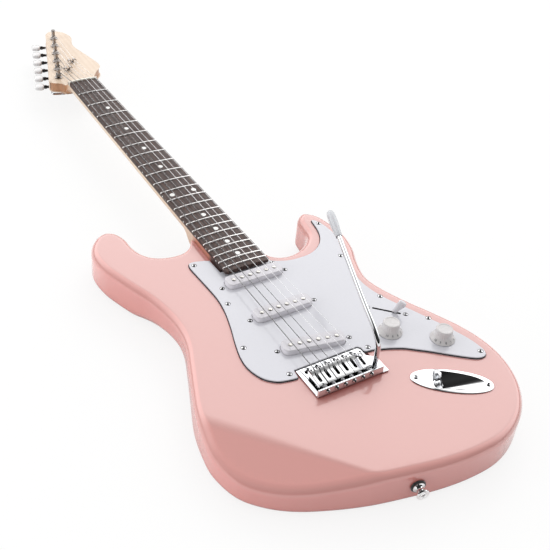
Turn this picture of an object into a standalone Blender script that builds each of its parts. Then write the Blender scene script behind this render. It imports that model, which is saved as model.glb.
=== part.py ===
"""Full-size solid-body electric guitar, laid on its back.

Frame of the finished part: +X treble side, +Y towards the headstock, +Z out of the face, metres.
Origin: centre of the neck plate's outer face, on the plane that the neck plate and the rear
cover share. Dimensions below are millimetres in the player's frame: x across the strings, y from
the saddle line towards the nut, z up from the flat top face of the body. P() turns them into the
finished frame. String, post and saddle numbers start at the low E, on the bass side.
"""
import math

import bmesh
import bpy
from mathutils import Matrix, Vector

# ---------------------------------------------------------------- driving dimensions (mm)
SCALE_LENGTH = 647.7          # nut to saddle line
PLATE_CENTRE_Y = 222.0        # neck plate centre from the saddle line
BODY_THICK = 44.0
COVER_THICK = 2.0             # neck plate and rear cover, standing proud of the back
BACK_Z = -BODY_THICK - COVER_THICK
GAP = 0.3                     # clearance between pieces that touch
CUT_TOP = 20.0                # cutters opening upwards run on to this height

NUT_WIDTH, HEEL_WIDTH = 42.0, 56.0
HEEL_END = 186.5
POCKET_END, POCKET_MOUTH, POCKET_FLOOR_Z = HEEL_END - GAP, 262.0, -16.0
BOARD_UNDER_Z, BOARD_CROWN_Z, BOARD_RADIUS = 6.0, 11.0, 241.0
NUT_THICK = 3.6
HEAD_FACE_Z, HEAD_THICK = -0.5, 14.0
HEAD_BACK_Z = HEAD_FACE_Z - HEAD_THICK

SCREW_SPACING_X, SCREW_SPACING_Y = 38.1, 50.8         # neck screws
NECK_SCREWS = [(x, PLATE_CENTRE_Y + y) for x in (-SCREW_SPACING_X / 2, SCREW_SPACING_X / 2)
               for y in (-SCREW_SPACING_Y / 2, SCREW_SPACING_Y / 2)]

STRINGS = 6
NUT_SPREAD, SADDLE_PITCH = 35.5, 10.5
STRING_Z_SADDLE, STRING_Z_NUT = 14.6, 12.9
SADDLE_ARCH_RADIUS = 300.0
STRING_R = [0.55, 0.45, 0.36, 0.28, 0.24, 0.22]
STRING_HOLE_Y = -8.0

FIRST_POST = (-21.3, 690.2)
POST_STEP = (8.0, 24.8)
POST_R, POST_TOP_Z = 3.0, 15.5
POST_WAIST_Z = HEAD_FACE_Z + 9.5                      # the strings meet the posts here
POST_SPACING = math.hypot(*POST_STEP)
# along the row of posts towards the tip, and out past the edge towards the buttons
ALONG = Vector((POST_STEP[0] / POST_SPACING, POST_STEP[1] / POST_SPACING, 0))
OUT = Vector((-ALONG.y, ALONG.x, 0))

GUARD_TOP = GAP + 2.2
PIVOT_Y, PIVOT_Z = 12.5, 0.4                          # tremolo knife edge
BRIDGE_PIVOT = (0, PIVOT_Y, PIVOT_Z)
BLOCK = dict(x0=-34.0, x1=43.5, y0=-19.5, y1=-3.5, z0=-40.0, z1=PIVOT_Z - GAP)
ARM = (38.0, -15.5)
VOLUME, TONE = (84.6, 20.3), (129.2, -13.2)
PICKUPS = (("neck", 160.9, 0.0), ("middle", 100.4, 0.0), ("bridge", 39.8, -10.4))  # y, degrees


def P(x, y, z):
    """Point of the finished frame for millimetres in the player's frame."""
    return Vector((x, y - PLATE_CENTRE_Y, z - BACK_Z)) * 0.001


# ---------------------------------------------------------------- string and post positions
def saddle_x(i):
    return (i - 2.5) * SADDLE_PITCH


def saddle_z(i):
    return STRING_Z_SADDLE - saddle_x(i) ** 2 / (2 * SADDLE_ARCH_RADIUS)


def nut_x(i):
    return -NUT_SPREAD / 2 + NUT_SPREAD * i / 5


def nut_z(i):
    return STRING_Z_NUT - nut_x(i) ** 2 / (2 * BOARD_RADIUS)


def neck_width(y):
    taper = (SCALE_LENGTH - y) / (SCALE_LENGTH - HEEL_END)
    return NUT_WIDTH + (HEEL_WIDTH - NUT_WIDTH) * taper


def post_at(k):
    return (FIRST_POST[0] + POST_STEP[0] * k, FIRST_POST[1] + POST_STEP[1] * k)


# ---------------------------------------------------------------- outline helpers
def catmull(points, steps, closed=True):
    """Catmull-Rom curve through 2D points, with so many steps for each span."""
    n = len(points)
    curve = []
    for i in range(n if closed else n - 1):
        near = [i + k if not closed else (i + k) % n for k in (-1, 0, 1, 2)]
        a, b, c, d = (points[min(max(k, 0), n - 1)] for k in near)
        for s in range(steps):
            t = s / steps
            curve.append(tuple(
                0.5 * ((2 * b[m]) + (-a[m] + c[m]) * t
                       + (2 * a[m] - 5 * b[m] + 4 * c[m] - d[m]) * t * t
                       + (-a[m] + 3 * b[m] - 3 * c[m] + d[m]) * t ** 3) for m in (0, 1)))
    if not closed:
        curve.append(tuple(points[-1]))
    return curve


def inset(points, depth):
    """Moves a counter-clockwise outline inwards along its corner normals."""
    moved = []
    for i, (x, y) in enumerate(points):
        before, after = points[i - 1], points[(i + 1) % len(points)]
        dx, dy = after[0] - before[0], after[1] - before[1]
        length = math.hypot(dx, dy)
        moved.append((x - dy / length * depth, y + dx / length * depth))
    return moved


def resample(points, step, closed=True):
    """Evenly spaced points, about a step apart, along an outline."""
    points = list(points) + ([points[0]] if closed else [])
    total = sum(math.dist(a, b) for a, b in zip(points, points[1:]))
    n = round(total / step)
    even, wanted, run = [], 0.0, 0.0
    for a, b in zip(points, points[1:]):
        span = math.dist(a, b)
        while wanted <= run + span + 1e-9 and len(even) < n + (0 if closed else 1):
            f = (wanted - run) / span
            even.append((a[0] + (b[0] - a[0]) * f, a[1] + (b[1] - a[1]) * f))
            wanted += total / n
        run += span
    return even


def corners(x0, x1, y0, y1):
    return [(x0, y0), (x1, y0), (x1, y1), (x0, y1)]


def rounded(x0, x1, y0, y1, r, steps=4):
    """Rectangle with rounded corners."""
    points = []
    centres = corners(x0 + r, x1 - r, y0 + r, y1 - r)
    for (cx, cy), start in zip(centres, (180, 270, 0, 90)):
        for k in range(steps + 1):
            a = math.radians(start + 90 * k / steps)
            points.append((cx + r * math.cos(a), cy + r * math.sin(a)))
    return points


def circle_angles(n):
    return [2 * math.pi * k / n for k in range(n)]


def signed_power(value, exponent):
    return math.copysign(abs(value) ** exponent, value)


def clamp01(value):
    return min(1.0, max(0.0, value))


def at_z(points, z):
    return [(x, y, z) for x, y in points]


# ---------------------------------------------------------------- scene and materials
for old in list(bpy.data.objects):
    bpy.data.objects.remove(old, do_unlink=True)


def make_material(name, colour, roughness, metallic=0.0):
    material = bpy.data.materials.new(name)
    material.use_nodes = True
    shader = material.node_tree.nodes["Principled BSDF"]
    shader.inputs["Base Color"].default_value = (*colour, 1)
    shader.inputs["Roughness"].default_value = roughness
    shader.inputs["Metallic"].default_value = metallic
    return material


LACQUER = make_material("pink_lacquer", colour=(0.86, 0.55, 0.53), roughness=0.12)
MAPLE = make_material("maple", colour=(0.82, 0.64, 0.44), roughness=0.35)
ROSEWOOD = make_material("rosewood", colour=(0.055, 0.032, 0.026), roughness=0.5)
NUT_PLASTIC = make_material("nut_plastic", colour=(0.85, 0.83, 0.78), roughness=0.4)
CHROME = make_material("chrome", colour=(0.85, 0.86, 0.88), roughness=0.1, metallic=1.0)
STEEL = make_material("steel", colour=(0.6, 0.6, 0.62), roughness=0.3, metallic=1.0)
WHITE = make_material("white_plastic", colour=(0.88, 0.88, 0.9), roughness=0.25)
BLACK = make_material("black_plastic", colour=(0.03, 0.03, 0.03), roughness=0.4)


# ---------------------------------------------------------------- solids
# A solid made without a name is a tool, used up by cut() or join().
def add(bm, name="tool", material=CHROME, smooth=30):
    """Object from a bmesh; edges sharper than `smooth` degrees stay sharp, 0 is flat shading."""
    bmesh.ops.recalc_face_normals(bm, faces=bm.faces[:])
    mesh = bpy.data.meshes.new(name)
    bm.to_mesh(mesh)
    bm.free()
    obj = bpy.data.objects.new(name, mesh)
    bpy.context.scene.collection.objects.link(obj)
    mesh.materials.append(material)
    if smooth:
        mesh.shade_smooth()
        mesh.set_sharp_from_angle(angle=math.radians(smooth))
    return obj


def boolean(target, tool, operation):
    modifier = target.modifiers.new(operation, "BOOLEAN")
    modifier.operation, modifier.solver, modifier.object = operation, "EXACT", tool
    bpy.context.view_layer.update()
    evaluated = target.evaluated_get(bpy.context.evaluated_depsgraph_get())
    mesh = bpy.data.meshes.new_from_object(evaluated)
    target.modifiers.remove(modifier)
    target.data = mesh
    bpy.data.objects.remove(tool, do_unlink=True)


def cut(target, *tools):
    for tool in tools:
        boolean(target, tool, "DIFFERENCE")


def join(target, *tools):
    for tool in tools:
        boolean(target, tool, "UNION")


def skin(rings, name="tool", material=CHROME, smooth=30):
    """Solid over rings of equal length, capped at both ends."""
    bm = bmesh.new()
    loops = [[bm.verts.new(P(*p)) for p in ring] for ring in rings]
    n = len(loops[0])
    for a, b in zip(loops, loops[1:]):
        for i in range(n):
            j = (i + 1) % n
            bm.faces.new((a[i], a[j], b[j], b[i]))
    bm.faces.new(list(reversed(loops[0])))
    bm.faces.new(loops[-1])
    return add(bm, name, material, smooth)


def prism(points, z0, z1, name="tool", material=WHITE, chamfer=0.0, smooth=30):
    """Upright plate from an outline; chamfer bevels its top rim."""
    rings = [at_z(points, z0), at_z(points, z1 - chamfer)]
    if chamfer:
        rings.append(at_z(inset(points, chamfer), z1))
    return skin(rings, name, material, smooth)


def box(x0, x1, y0, y1, z0, z1, name="tool", material=WHITE):
    return prism(corners(x0, x1, y0, y1), z0, z1, name, material, smooth=0)


def revolve(profile, origin, axis, segments, name="tool", material=CHROME):
    """Solid of revolution from a closed loop of (radius, height); radius 0 lies on the axis."""
    turn = Vector(axis).normalized().to_track_quat("Z", "Y").to_matrix()
    base = P(*origin)
    bm = bmesh.new()
    rings = []
    for r, h in profile:
        spots = [(r * math.cos(a), r * math.sin(a), h) for a in circle_angles(segments)]
        if r == 0:
            spots = [(0, 0, h)]
        rings.append([bm.verts.new(base + turn @ Vector(spot) * 0.001) for spot in spots])
    for a, b in zip(rings, rings[1:] + rings[:1]):
        if len(a) == 1 and len(b) == 1:
            continue
        for i in range(segments):
            j = (i + 1) % segments
            if len(a) == 1:
                bm.faces.new((a[0], b[i], b[j]))
            elif len(b) == 1:
                bm.faces.new((a[i], a[j], b[0]))
            else:
                bm.faces.new((a[i], a[j], b[j], b[i]))
    return add(bm, name, material, 35)


def rod(start, end, r, segments):
    axis = Vector(end) - Vector(start)
    return revolve([(0, 0), (r, 0), (r, axis.length), (0, axis.length)], start, axis, segments)


def upright_rod(x, y, z0, z1, r, segments):
    return rod((x, y, z0), (x, y, z1), r, segments)


def tube(name, path, r, sides, material=STEEL):
    """Round wire along a path, with its section carried along without twisting."""
    points = [Vector(p) for p in path]
    rings, up = [], None
    for i, p in enumerate(points):
        ahead = (points[min(i + 1, len(points) - 1)] - points[max(i - 1, 0)]).normalized()
        if up is None:
            up = ahead.orthogonal().normalized()
        up = (up - ahead * up.dot(ahead)).normalized()
        side = ahead.cross(up)
        rings.append([p + (up * math.cos(a) + side * math.sin(a)) * r
                      for a in circle_angles(sides)])
    return skin(rings, name, material)


def put_origin(obj, pivot):
    """Puts an object's own origin on its joint's axis without moving its shape."""
    where = P(*pivot)
    obj.data.transform(Matrix.Translation(-where))
    obj.location = where


# ---------------------------------------------------------------- body
BODY_OUTLINE = [  # x, y, counter-clockwise from the neck pocket's mouth
    (0, 260), (-27, 259.5), (-32.5, 254), (-38, 246), (-47, 242), (-60, 240.8), (-73, 243.5),
    (-83, 249.5), (-90.5, 260), (-94.3, 275), (-95.2, 292), (-101, 306.7), (-113, 313),
    (-126.3, 307.2), (-137.4, 293), (-142.3, 275), (-140.7, 250.5), (-134.3, 227.3),
    (-126, 203), (-118, 180), (-112.5, 153), (-111.2, 127), (-115.5, 103), (-125.8, 76),
    (-137, 48), (-147.5, 20), (-154.6, -10), (-156.7, -36), (-149.5, -65.6), (-133.1, -87.1),
    (-109.4, -105), (-78, -119.8), (-44, -131.9), (-8, -140.7), (28, -147.8), (62, -150.8),
    (95, -148.8), (122.6, -138.8), (146, -121.5), (163.8, -97), (173.6, -68), (175, -38),
    (167.6, -5.3), (152.7, 28.6), (136.9, 60.3), (124.6, 91), (121.5, 114), (129, 140),
    (139.5, 164), (145, 192), (142, 219), (135.4, 238.6), (121.5, 249.2), (109, 240),
    (105, 224), (101, 208), (90, 195.5), (76, 187.5), (62, 184.5), (49, 187.5), (38.5, 197),
    (33.5, 212), (32.5, 236), (31.5, 253), (27, 259.5),
]
OUTLINE_STEP = 13.0
EDGE_R = 9.0                                          # round-over of the edges
EDGE_STEPS = 2
FOREARM_START = Vector((-92, -64, 0))                 # a point on the forearm slope's top edge
FOREARM_DOWNHILL, FOREARM_ANGLE = Vector((-0.769, -0.640, 0)), math.radians(16)
BELLY_CENTRE = (-165, 118, -BODY_THICK - 32)
BELLY_RADII = (100, 125, 55)
CONTROL_CAVITY = [(38, 66), (41, 10), (62, 6), (92, -9), (124, -32), (143, -38), (147, -28),
                  (140.5, 2), (119, 49), (101, 70)]
CONTROL_FLOOR_Z = -33
PICKUP_CAVITY = (-41.5, 41.5, 24, 171, -17, CUT_TOP)  # x0, x1, y0, y1, z0, z1
BLOCK_CAVITY = (-35.6, 45.4, -24.6, 7.5, -50, CUT_TOP)
SPRING_CAVITY = (-35.5, 45.3, -32, 102, -60, -27)
JACK_CAVITY_HALF_LENGTH, JACK_CAVITY_HALF_WIDTH, JACK_FLOOR_Z = 35.0, 13.9, -34
SCREW_HOLE_R = 2.6


def body_blank():
    outline = resample(catmull(BODY_OUTLINE, 6), OUTLINE_STEP)
    angles = [math.pi / 2 * k / EDGE_STEPS for k in range(EDGE_STEPS + 1)]
    back = [at_z(inset(outline, EDGE_R * (1 - math.sin(a))),
                 -BODY_THICK + EDGE_R * (1 - math.cos(a))) for a in angles]
    face = [at_z(inset(outline, EDGE_R * (1 - math.cos(a))),
                 -EDGE_R * (1 - math.sin(a))) for a in angles]
    return skin(back + face, "body", LACQUER, 40)


def forearm_cutter():
    """Tilted slab that slopes the bass side of the face down towards the tail."""
    downhill = (FOREARM_DOWNHILL * math.cos(FOREARM_ANGLE)
                - Vector((0, 0, 1)) * math.sin(FOREARM_ANGLE)).normalized()
    side = Vector((-FOREARM_DOWNHILL.y, FOREARM_DOWNHILL.x, 0))
    lift = downhill.cross(side)
    sole = [FOREARM_START + side * s + downhill * d for s, d in corners(-110, 110, -12, 110)]
    return skin([sole, [p + lift * 60 for p in sole]], smooth=0)


def belly_cutter():
    """Ellipsoid that hollows the bass side of the back."""
    bm = bmesh.new()
    bmesh.ops.create_uvsphere(bm, u_segments=26, v_segments=16, radius=0.001)
    matrix = Matrix.Translation(P(*BELLY_CENTRE)) @ Matrix.Diagonal((*BELLY_RADII, 1))
    bmesh.ops.transform(bm, matrix=matrix, verts=bm.verts[:])
    return add(bm, smooth=40)


def pocket_cutter():
    end = neck_width(POCKET_END) / 2 + GAP
    mouth, mouth_y = neck_width(POCKET_MOUTH) / 2 + GAP, POCKET_MOUTH + 8
    outline = [(-end, POCKET_END), (end, POCKET_END), (mouth, mouth_y), (-mouth, mouth_y)]
    return prism(outline, POCKET_FLOOR_Z, CUT_TOP)


def jack_cavity_cutter():
    outline = [jack_point(JACK_CAVITY_HALF_LENGTH * signed_power(math.cos(a), 2 / 3),
                          JACK_CAVITY_HALF_WIDTH * signed_power(math.sin(a), 2 / 3), 0)[:2]
               for a in circle_angles(20)]
    return prism(outline, JACK_FLOOR_Z, CUT_TOP)


def make_body():
    body = body_blank()
    cut(body, forearm_cutter())
    cut(body, belly_cutter())
    cut(body, pocket_cutter())
    cut(body, box(*PICKUP_CAVITY))
    cut(body, prism(CONTROL_CAVITY, CONTROL_FLOOR_Z, CUT_TOP))
    cut(body, box(*BLOCK_CAVITY))
    cut(body, box(*SPRING_CAVITY))
    cut(body, jack_cavity_cutter())
    # round hole from the control cavity towards the jack cavity
    cut(body, rod((104, -50, -25), (118, -24, -25), 5, 8))
    for x, y in NECK_SCREWS:
        cut(body, upright_rod(x, y, -50, -10, SCREW_HOLE_R, 8))


# ---------------------------------------------------------------- neck
HEAD_OUTLINE = [  # x, y, from the nut up the bass edge and back down the treble edge
    (-19.5, 662), (-21.3, 664.5), (-22.6, 669.3), (-27, 673.2), (-32.5, 676.2), (-36.4, 679.6),
    (-37.3, 684), (-35.6, 690), (-10.5, 764), (8.8, 823), (12.8, 832.5), (19.5, 838),
    (28.5, 837.5), (36.6, 829.5), (41.3, 818.5), (41.8, 808.5), (38.8, 798), (35.2, 786),
    (35.2, 774), (38.7, 757), (45, 729), (47.3, 714.5), (47.2, 704.5), (43.4, 696),
    (37.2, 688.5), (31.6, 681), (26.6, 673.5), (22.6, 666.5), (19.5, 662),
]
HEAD_CHAMFER = 1.2
POST_HOLE_R = 4.3
NECK_STATIONS = [  # y of the sections
    HEEL_END, 262, 268, 274, 280, 286, 340, 420, 500, 580, 640, 648, 652.5, 656, 659, 662, 668,
    676,
]
EDGE_BELOW_TOP = 3            # the round back starts this far below the flat top


def neck_section(y):
    """Closed section of the neck at y: flat top, round back, squared heel and head."""
    heel = clamp01((284 - y) / 22)
    head = clamp01((y - 646) / 24)
    half = neck_width(y) / 2 if y < SCALE_LENGTH else NUT_WIDTH / 2 + 0.3 * head
    top = BOARD_UNDER_Z - GAP
    past_nut = clamp01((y - SCALE_LENGTH - NUT_THICK - 1) / 10)
    top += (HEAD_FACE_Z - top) * past_nut * past_nut * (3 - 2 * past_nut)
    back = -10.2 - 1.4 * (SCALE_LENGTH - y) / 400 if y > 300 else -11.4
    back += (POCKET_FLOOR_Z + GAP - back) * heel + (HEAD_BACK_Z - back) * head
    edge = top - EDGE_BELOW_TOP
    roundness = 1.0 - 0.72 * max(heel, head)
    points = []
    for i in range(13):
        a = math.pi * i / 12
        points.append((half * signed_power(math.cos(a), roundness), y,
                       edge - (edge - back) * abs(math.sin(a)) ** roundness))
    return points + [(-half, y, top), (half, y, top)]


def headstock():
    edge = resample(catmull(HEAD_OUTLINE, 4, False), 6.0, False)
    rim = inset(edge, HEAD_CHAMFER)
    # the face lies a hair under the neck's own top so that the two do not coincide
    rings = [at_z(rim, HEAD_BACK_Z), at_z(edge, HEAD_BACK_Z + HEAD_CHAMFER),
             at_z(edge, HEAD_FACE_Z - HEAD_CHAMFER), at_z(rim, HEAD_FACE_Z - 0.02)]
    return skin(rings, smooth=40)


def make_neck():
    neck = skin([neck_section(y) for y in NECK_STATIONS], "neck", MAPLE, 40)
    join(neck, headstock())
    for x, y in NECK_SCREWS:
        cut(neck, upright_rod(x, y, -30, -1, SCREW_HOLE_R, 8))
    for k in range(STRINGS):
        cut(neck, upright_rod(*post_at(k), -40, CUT_TOP, POST_HOLE_R, 10))


# ---------------------------------------------------------------- fingerboard with its frets
BOARD_END = 174.0             # the board overhangs the heel
FRETS, FRET_HEIGHT, FRET_WIDTH = 22, 1.1, 2.3
FRET_SECTION = [  # y from the fret's line, height above the board
    (-FRET_WIDTH / 2, 0), (-FRET_WIDTH * 0.2, FRET_HEIGHT), (FRET_WIDTH * 0.2, FRET_HEIGHT),
    (FRET_WIDTH / 2, 0),
]


def board_section(y, lift):
    """Closed section at y, with its arched top raised by lift."""
    half = neck_width(y) / 2
    across = [half * (1 - i / 2) for i in range(5)]
    arch = [(x, y, BOARD_CROWN_Z + lift - x * x / (2 * BOARD_RADIUS)) for x in across]
    return arch + [(-half, y, BOARD_UNDER_Z), (half, y, BOARD_UNDER_Z)]


def make_fingerboard():
    rings = [board_section(BOARD_END, 0)]
    for n in range(FRETS, 0, -1):
        fret_y = SCALE_LENGTH / 2 ** (n / 12)
        rings += [board_section(fret_y + dy, lift) for dy, lift in FRET_SECTION]
    rings.append(board_section(SCALE_LENGTH - GAP, 0))
    skin(rings, "fingerboard", ROSEWOOD, 25)


# ---------------------------------------------------------------- nut
NUT_TOP_Z = 12.6


def make_nut():
    half = NUT_WIDTH / 2
    profile = [(-half, BOARD_UNDER_Z), (half, BOARD_UNDER_Z), (half, NUT_TOP_Z)]
    for i in reversed(range(STRINGS)):
        r = STRING_R[i] + GAP
        x, z = nut_x(i), nut_z(i)
        profile += [(x + r + 0.4, z + 0.9), (x + r, z - r), (x - r, z - r),
                    (x - r - 0.4, z + 0.9)]
    profile.append((-half, NUT_TOP_Z))
    # the top falls a little towards the headstock
    skin([[(x, SCALE_LENGTH, z) for x, z in profile],
          [(x, SCALE_LENGTH + NUT_THICK, z - 0.25 if z > 11 else z) for x, z in profile]],
         "nut", NUT_PLASTIC, 0)


# ---------------------------------------------------------------- neck plate and rear cover
PLATE_HALF_WIDTH, PLATE_HALF_LENGTH, PLATE_CORNER_R = 25.5, 32, 3.5
COVER = dict(x0=-46, x1=50, y0=-44, y1=112, r=6)


def make_neck_plate():
    """Neck plate with its four screws."""
    outline = rounded(-PLATE_HALF_WIDTH, PLATE_HALF_WIDTH, PLATE_CENTRE_Y - PLATE_HALF_LENGTH,
                      PLATE_CENTRE_Y + PLATE_HALF_LENGTH, PLATE_CORNER_R)
    plate = prism(outline, BACK_Z, -BODY_THICK - GAP, "neck_plate", CHROME)
    for x, y in NECK_SCREWS:
        join(plate, upright_rod(x, y, BACK_Z + 0.5, -3.0, 2.1, 8))


def make_back_cover():
    """Rear cover with a slot under each string's hole."""
    cover = prism(rounded(**COVER, steps=2), BACK_Z, -BODY_THICK - GAP, "back_cover")
    for i in range(STRINGS):
        x = saddle_x(i)
        slot = rounded(x - 3, x + 3, STRING_HOLE_Y - 9, STRING_HOLE_Y + 5, 2.9, 1)
        cut(cover, prism(slot, -60, 0))


# ---------------------------------------------------------------- pickguard
GUARD_BASS_EDGE = [  # x, y, smoothed, from the neck down the bass side to the bridge
    (-29, 209), (-36, 212), (-47, 215), (-54, 214), (-56.5, 206), (-56, 190), (-54.8, 165),
    (-54.6, 145), (-57.5, 124), (-64, 100), (-72, 76), (-77.5, 55), (-78, 38), (-72.5, 21),
    (-62, 10.5), (-50, 6.6), (-40, 5.2),
]
GUARD_OTHER_EDGES = [  # x, y, used as they are, on from the bass edge
    # along the bridge
    (-38.4, 7), (-38.2, 15.8), (38, 15.8), (41, 13.5), (42.3, 6.8),
    # tail edge
    (52, 4.8), (60, 2.2), (68, -0.6), (76, -4.2), (84, -8.4), (95, -16.6), (103, -22.6),
    (111, -29.2), (119, -36), (127, -42.6), (135, -48.8), (142, -53.6), (148, -55.6),
    (153.5, -55), (157.3, -51.8), (158.8, -46.5),
    # treble edge
    (158.5, -40), (156.8, -30), (153.3, -18.5), (148.6, -6), (143.4, 6.5), (138.6, 17),
    (133.6, 28), (128.5, 39), (122.9, 50), (117.3, 61.5), (112.8, 73), (109.2, 85),
    (107.2, 98), (107.6, 111), (110.8, 125), (116.2, 140), (122.4, 156), (127.6, 172),
    (130.4, 188), (130.2, 202), (128.6, 213), (125.8, 222),
    # horn, back to the neck
    (121.8, 227), (118.8, 226), (117.3, 218), (114, 203), (107, 189), (96, 178.5), (82, 172),
    (68, 170.6), (54, 171.6), (42, 175.6), (33, 181), (29, 185.6), (-29, 185.6),
]
SHAFT_HOLE_R = 5.0
SWITCH_CENTRE, SWITCH_DIR = (101.5, 49.0), (0.723, -0.691)
LEVER_SLOT = [(-15, -1.3), (15, -1.3), (15.9, 0), (15, 1.3), (-15, 1.3), (-15.9, 0)]


def switch_points(points):
    """Points given along and across the selector switch, as x, y."""
    (cx, cy), (dx, dy) = SWITCH_CENTRE, SWITCH_DIR
    return [(cx + u * dx - v * dy, cy + u * dy + v * dx) for u, v in points]


def make_pickguard():
    outline = catmull(GUARD_BASS_EDGE, 2, False) + GUARD_OTHER_EDGES
    guard = prism(outline, GAP, GUARD_TOP, "pickguard", chamfer=0.8)
    for _, centre_y, tilt in PICKUPS:
        cut(guard, prism(pickup_outline(centre_y, tilt, 0.4), -5, 10))
    for x, y in (VOLUME, TONE):
        cut(guard, upright_rod(x, y, -5, 10, SHAFT_HOLE_R, 10))
    cut(guard, prism(switch_points(LEVER_SLOT), -5, 10))


# ---------------------------------------------------------------- pickups
POLE_PITCH = 10.37
PICKUP_HALF_LENGTH, PICKUP_HALF_WIDTH, PICKUP_TOP_Z = 35.0, 9.0, 8.4
PICKUP_WALL = 1.6


def pickup_outline(centre_y, tilt, grow=0.0, corner=6.5):
    a = math.radians(tilt)
    half_l, half_w = PICKUP_HALF_LENGTH + grow, PICKUP_HALF_WIDTH + grow
    return [(x * math.cos(a) - y * math.sin(a), centre_y + x * math.sin(a) + y * math.cos(a))
            for x, y in rounded(-half_l, half_l, -half_w, half_w, corner, 3)]


def poles(centre_y, tilt):
    """Centres of the six pole pieces."""
    a = math.radians(tilt)
    along = [(i - 2.5) * POLE_PITCH for i in range(STRINGS)]
    return [(x * math.cos(a), centre_y + x * math.sin(a)) for x in along]


def make_pickup(name, centre_y, tilt):
    """Hollow cover over a coil whose poles come up through the cover's holes."""
    shell = prism(pickup_outline(centre_y, tilt), -6, PICKUP_TOP_Z, "pickup_cover_" + name,
                  chamfer=0.9)
    cut(shell, prism(pickup_outline(centre_y, tilt, -PICKUP_WALL, 5), -9,
                     PICKUP_TOP_Z - PICKUP_WALL))
    for x, y in poles(centre_y, tilt):
        cut(shell, upright_rod(x, y, 0, CUT_TOP, 2.8, 8))
    coil = prism(pickup_outline(centre_y, tilt, -3, 5), -12, PICKUP_TOP_Z - 2.2,
                 "pickup_coil_" + name, BLACK)
    for x, y in poles(centre_y, tilt):
        join(coil, upright_rod(x, y, 0, PICKUP_TOP_Z + 0.8, 2.4, 8))


# ---------------------------------------------------------------- controls
KNOB_PROFILE = [  # radius, height above the pickguard; the shaft hangs below
    (0, -11.5), (2.9, -11.5), (2.9, 4.0), (8.4, 4.0), (11.9, GAP), (13.5, GAP), (13.1, 1.8),
    (9.8, 5.0), (9.2, 12.4), (8.4, 13.6), (0, 13.6),
]
POT_PROFILE = [  # radius, z; the bore takes the knob's shaft
    (0, -17), (12, -17), (12, -6.5), (4.4, -6.0), (4.4, 1.9), (3.25, 1.9), (3.25, -14.5),
    (0, -14.5),
]
LEVER_PIVOT = Vector((*SWITCH_CENTRE, -14.0))
LEVER_LEAN = math.radians(26.0)                       # along the slot, from upright
LEVER_HUB_R, LEVER_HUB_HALF = 2.4, 2.1
LEVER_TIP = [  # distance from the pivot, half size along the slot, half size across it
    (19.5, 2.6, 1.7), (26, 3.4, 2.4), (34, 4.6, 3.2), (36, 4.0, 2.8), (36.8, 2.2, 1.4),
]


def make_knob(name, at):
    knob = revolve(KNOB_PROFILE, (*at, GUARD_TOP), (0, 0, 1), 16, name, WHITE)
    put_origin(knob, (*at, GUARD_TOP))


def make_pot(name, at):
    revolve(POT_PROFILE, (*at, 0), (0, 0, 1), 14, name, STEEL)


def make_selector_switch():
    switch = prism(switch_points(corners(-20, 20, -7, 7)), -24, -0.5, "selector_switch", STEEL,
                   smooth=0)
    cut(switch, prism(switch_points(corners(-16.5, 16.5, -2.6, 2.6)), -18.5, 5))


def make_selector_lever():
    """Hub across the slot, flat stem and swelling tip."""
    dx, dy = SWITCH_DIR
    lean = Vector((dx * math.sin(LEVER_LEAN), dy * math.sin(LEVER_LEAN), math.cos(LEVER_LEAN)))
    axis = Vector((-dy, dx, 0))
    along = axis.cross(lean)

    def section(distance, points):
        return [LEVER_PIVOT + lean * distance + along * a + axis * b for a, b in points]

    r, half = LEVER_HUB_R, LEVER_HUB_HALF
    lever = revolve([(0, -half), (r, -half), (r, half), (0, half)], LEVER_PIVOT, axis, 10,
                    "selector_lever", WHITE)
    stem = corners(-1.9, 1.9, -0.8, 0.8)
    join(lever, skin([section(0, stem), section(22, stem)], smooth=0))
    join(lever, skin([section(d, [(a * math.cos(t), b * math.sin(t)) for t in circle_angles(10)])
                      for d, a, b in LEVER_TIP]))
    put_origin(lever, LEVER_PIVOT)


# ---------------------------------------------------------------- output jack in its dished plate
# u runs along the plate and v across it, from the plate's centre.
JACK_CENTRE, JACK_ANGLE = (98.0, -67.0), math.radians(-35.0)
DISH_U, DISH_DEPTH = -11.0, 14.5                      # deepest point, on the line v = 0
DISH_STEPS = (0.12, 0.35, 0.6, 0.8, 0.92, 1.0)        # fractions of the way to the rim
JACK_PLATE_THICK = 1.3
JACK_TILT = math.radians(32)
JACK_PROFILE = [(3.2, -12), (6.0, -12), (6.0, -5.0), (4.7, -5.0), (4.7, 4.0), (3.2, 4.0)]


def jack_point(u, v, z):
    c, s = math.cos(JACK_ANGLE), math.sin(JACK_ANGLE)
    return (JACK_CENTRE[0] + u * c - v * s, JACK_CENTRE[1] + u * s + v * c, z)


JACK_SEAT = Vector(jack_point(-15.5, 0, -8.2))
JACK_AXIS = Vector((math.cos(JACK_ANGLE) * math.cos(JACK_TILT),
                    math.sin(JACK_ANGLE) * math.cos(JACK_TILT), math.sin(JACK_TILT)))


def reach(angle, measure):
    """Distance from the deepest point, in a direction, to where measure(u, v) grows to 1."""
    low, high = 0.0, 90.0
    for _ in range(40):
        r = (low + high) / 2
        if measure(DISH_U + r * math.cos(angle), r * math.sin(angle)) < 1:
            low = r
        else:
            high = r
    return low if low == high else (low + high) / 2


def rim_reach(angle):
    """Rim of the dish: blunt at the deep end, tapering to the other."""
    return reach(angle, lambda u, v: (max(0.0, (u + 16) / 50) ** 2.4
                                      + max(0.0, (-16 - u) / 3.8) ** 2.4
                                      + (abs(v) / 12.8) ** 2.4))


def edge_reach(angle, grow=0.0):
    """Outer edge of the plate."""
    return reach(angle, lambda u, v: ((abs(u) / (42.7 + grow)) ** 2.1
                                      + (abs(v) / (16.3 + grow)) ** 2.1))


def dish_drop(angle, fraction):
    """Depth of the dish at a fraction of the way from its deepest point to the rim."""
    power = 1.15 + 1.7 * (0.5 - 0.5 * math.cos(angle)) ** 0.6
    return DISH_DEPTH * (1 - fraction ** power)


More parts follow.
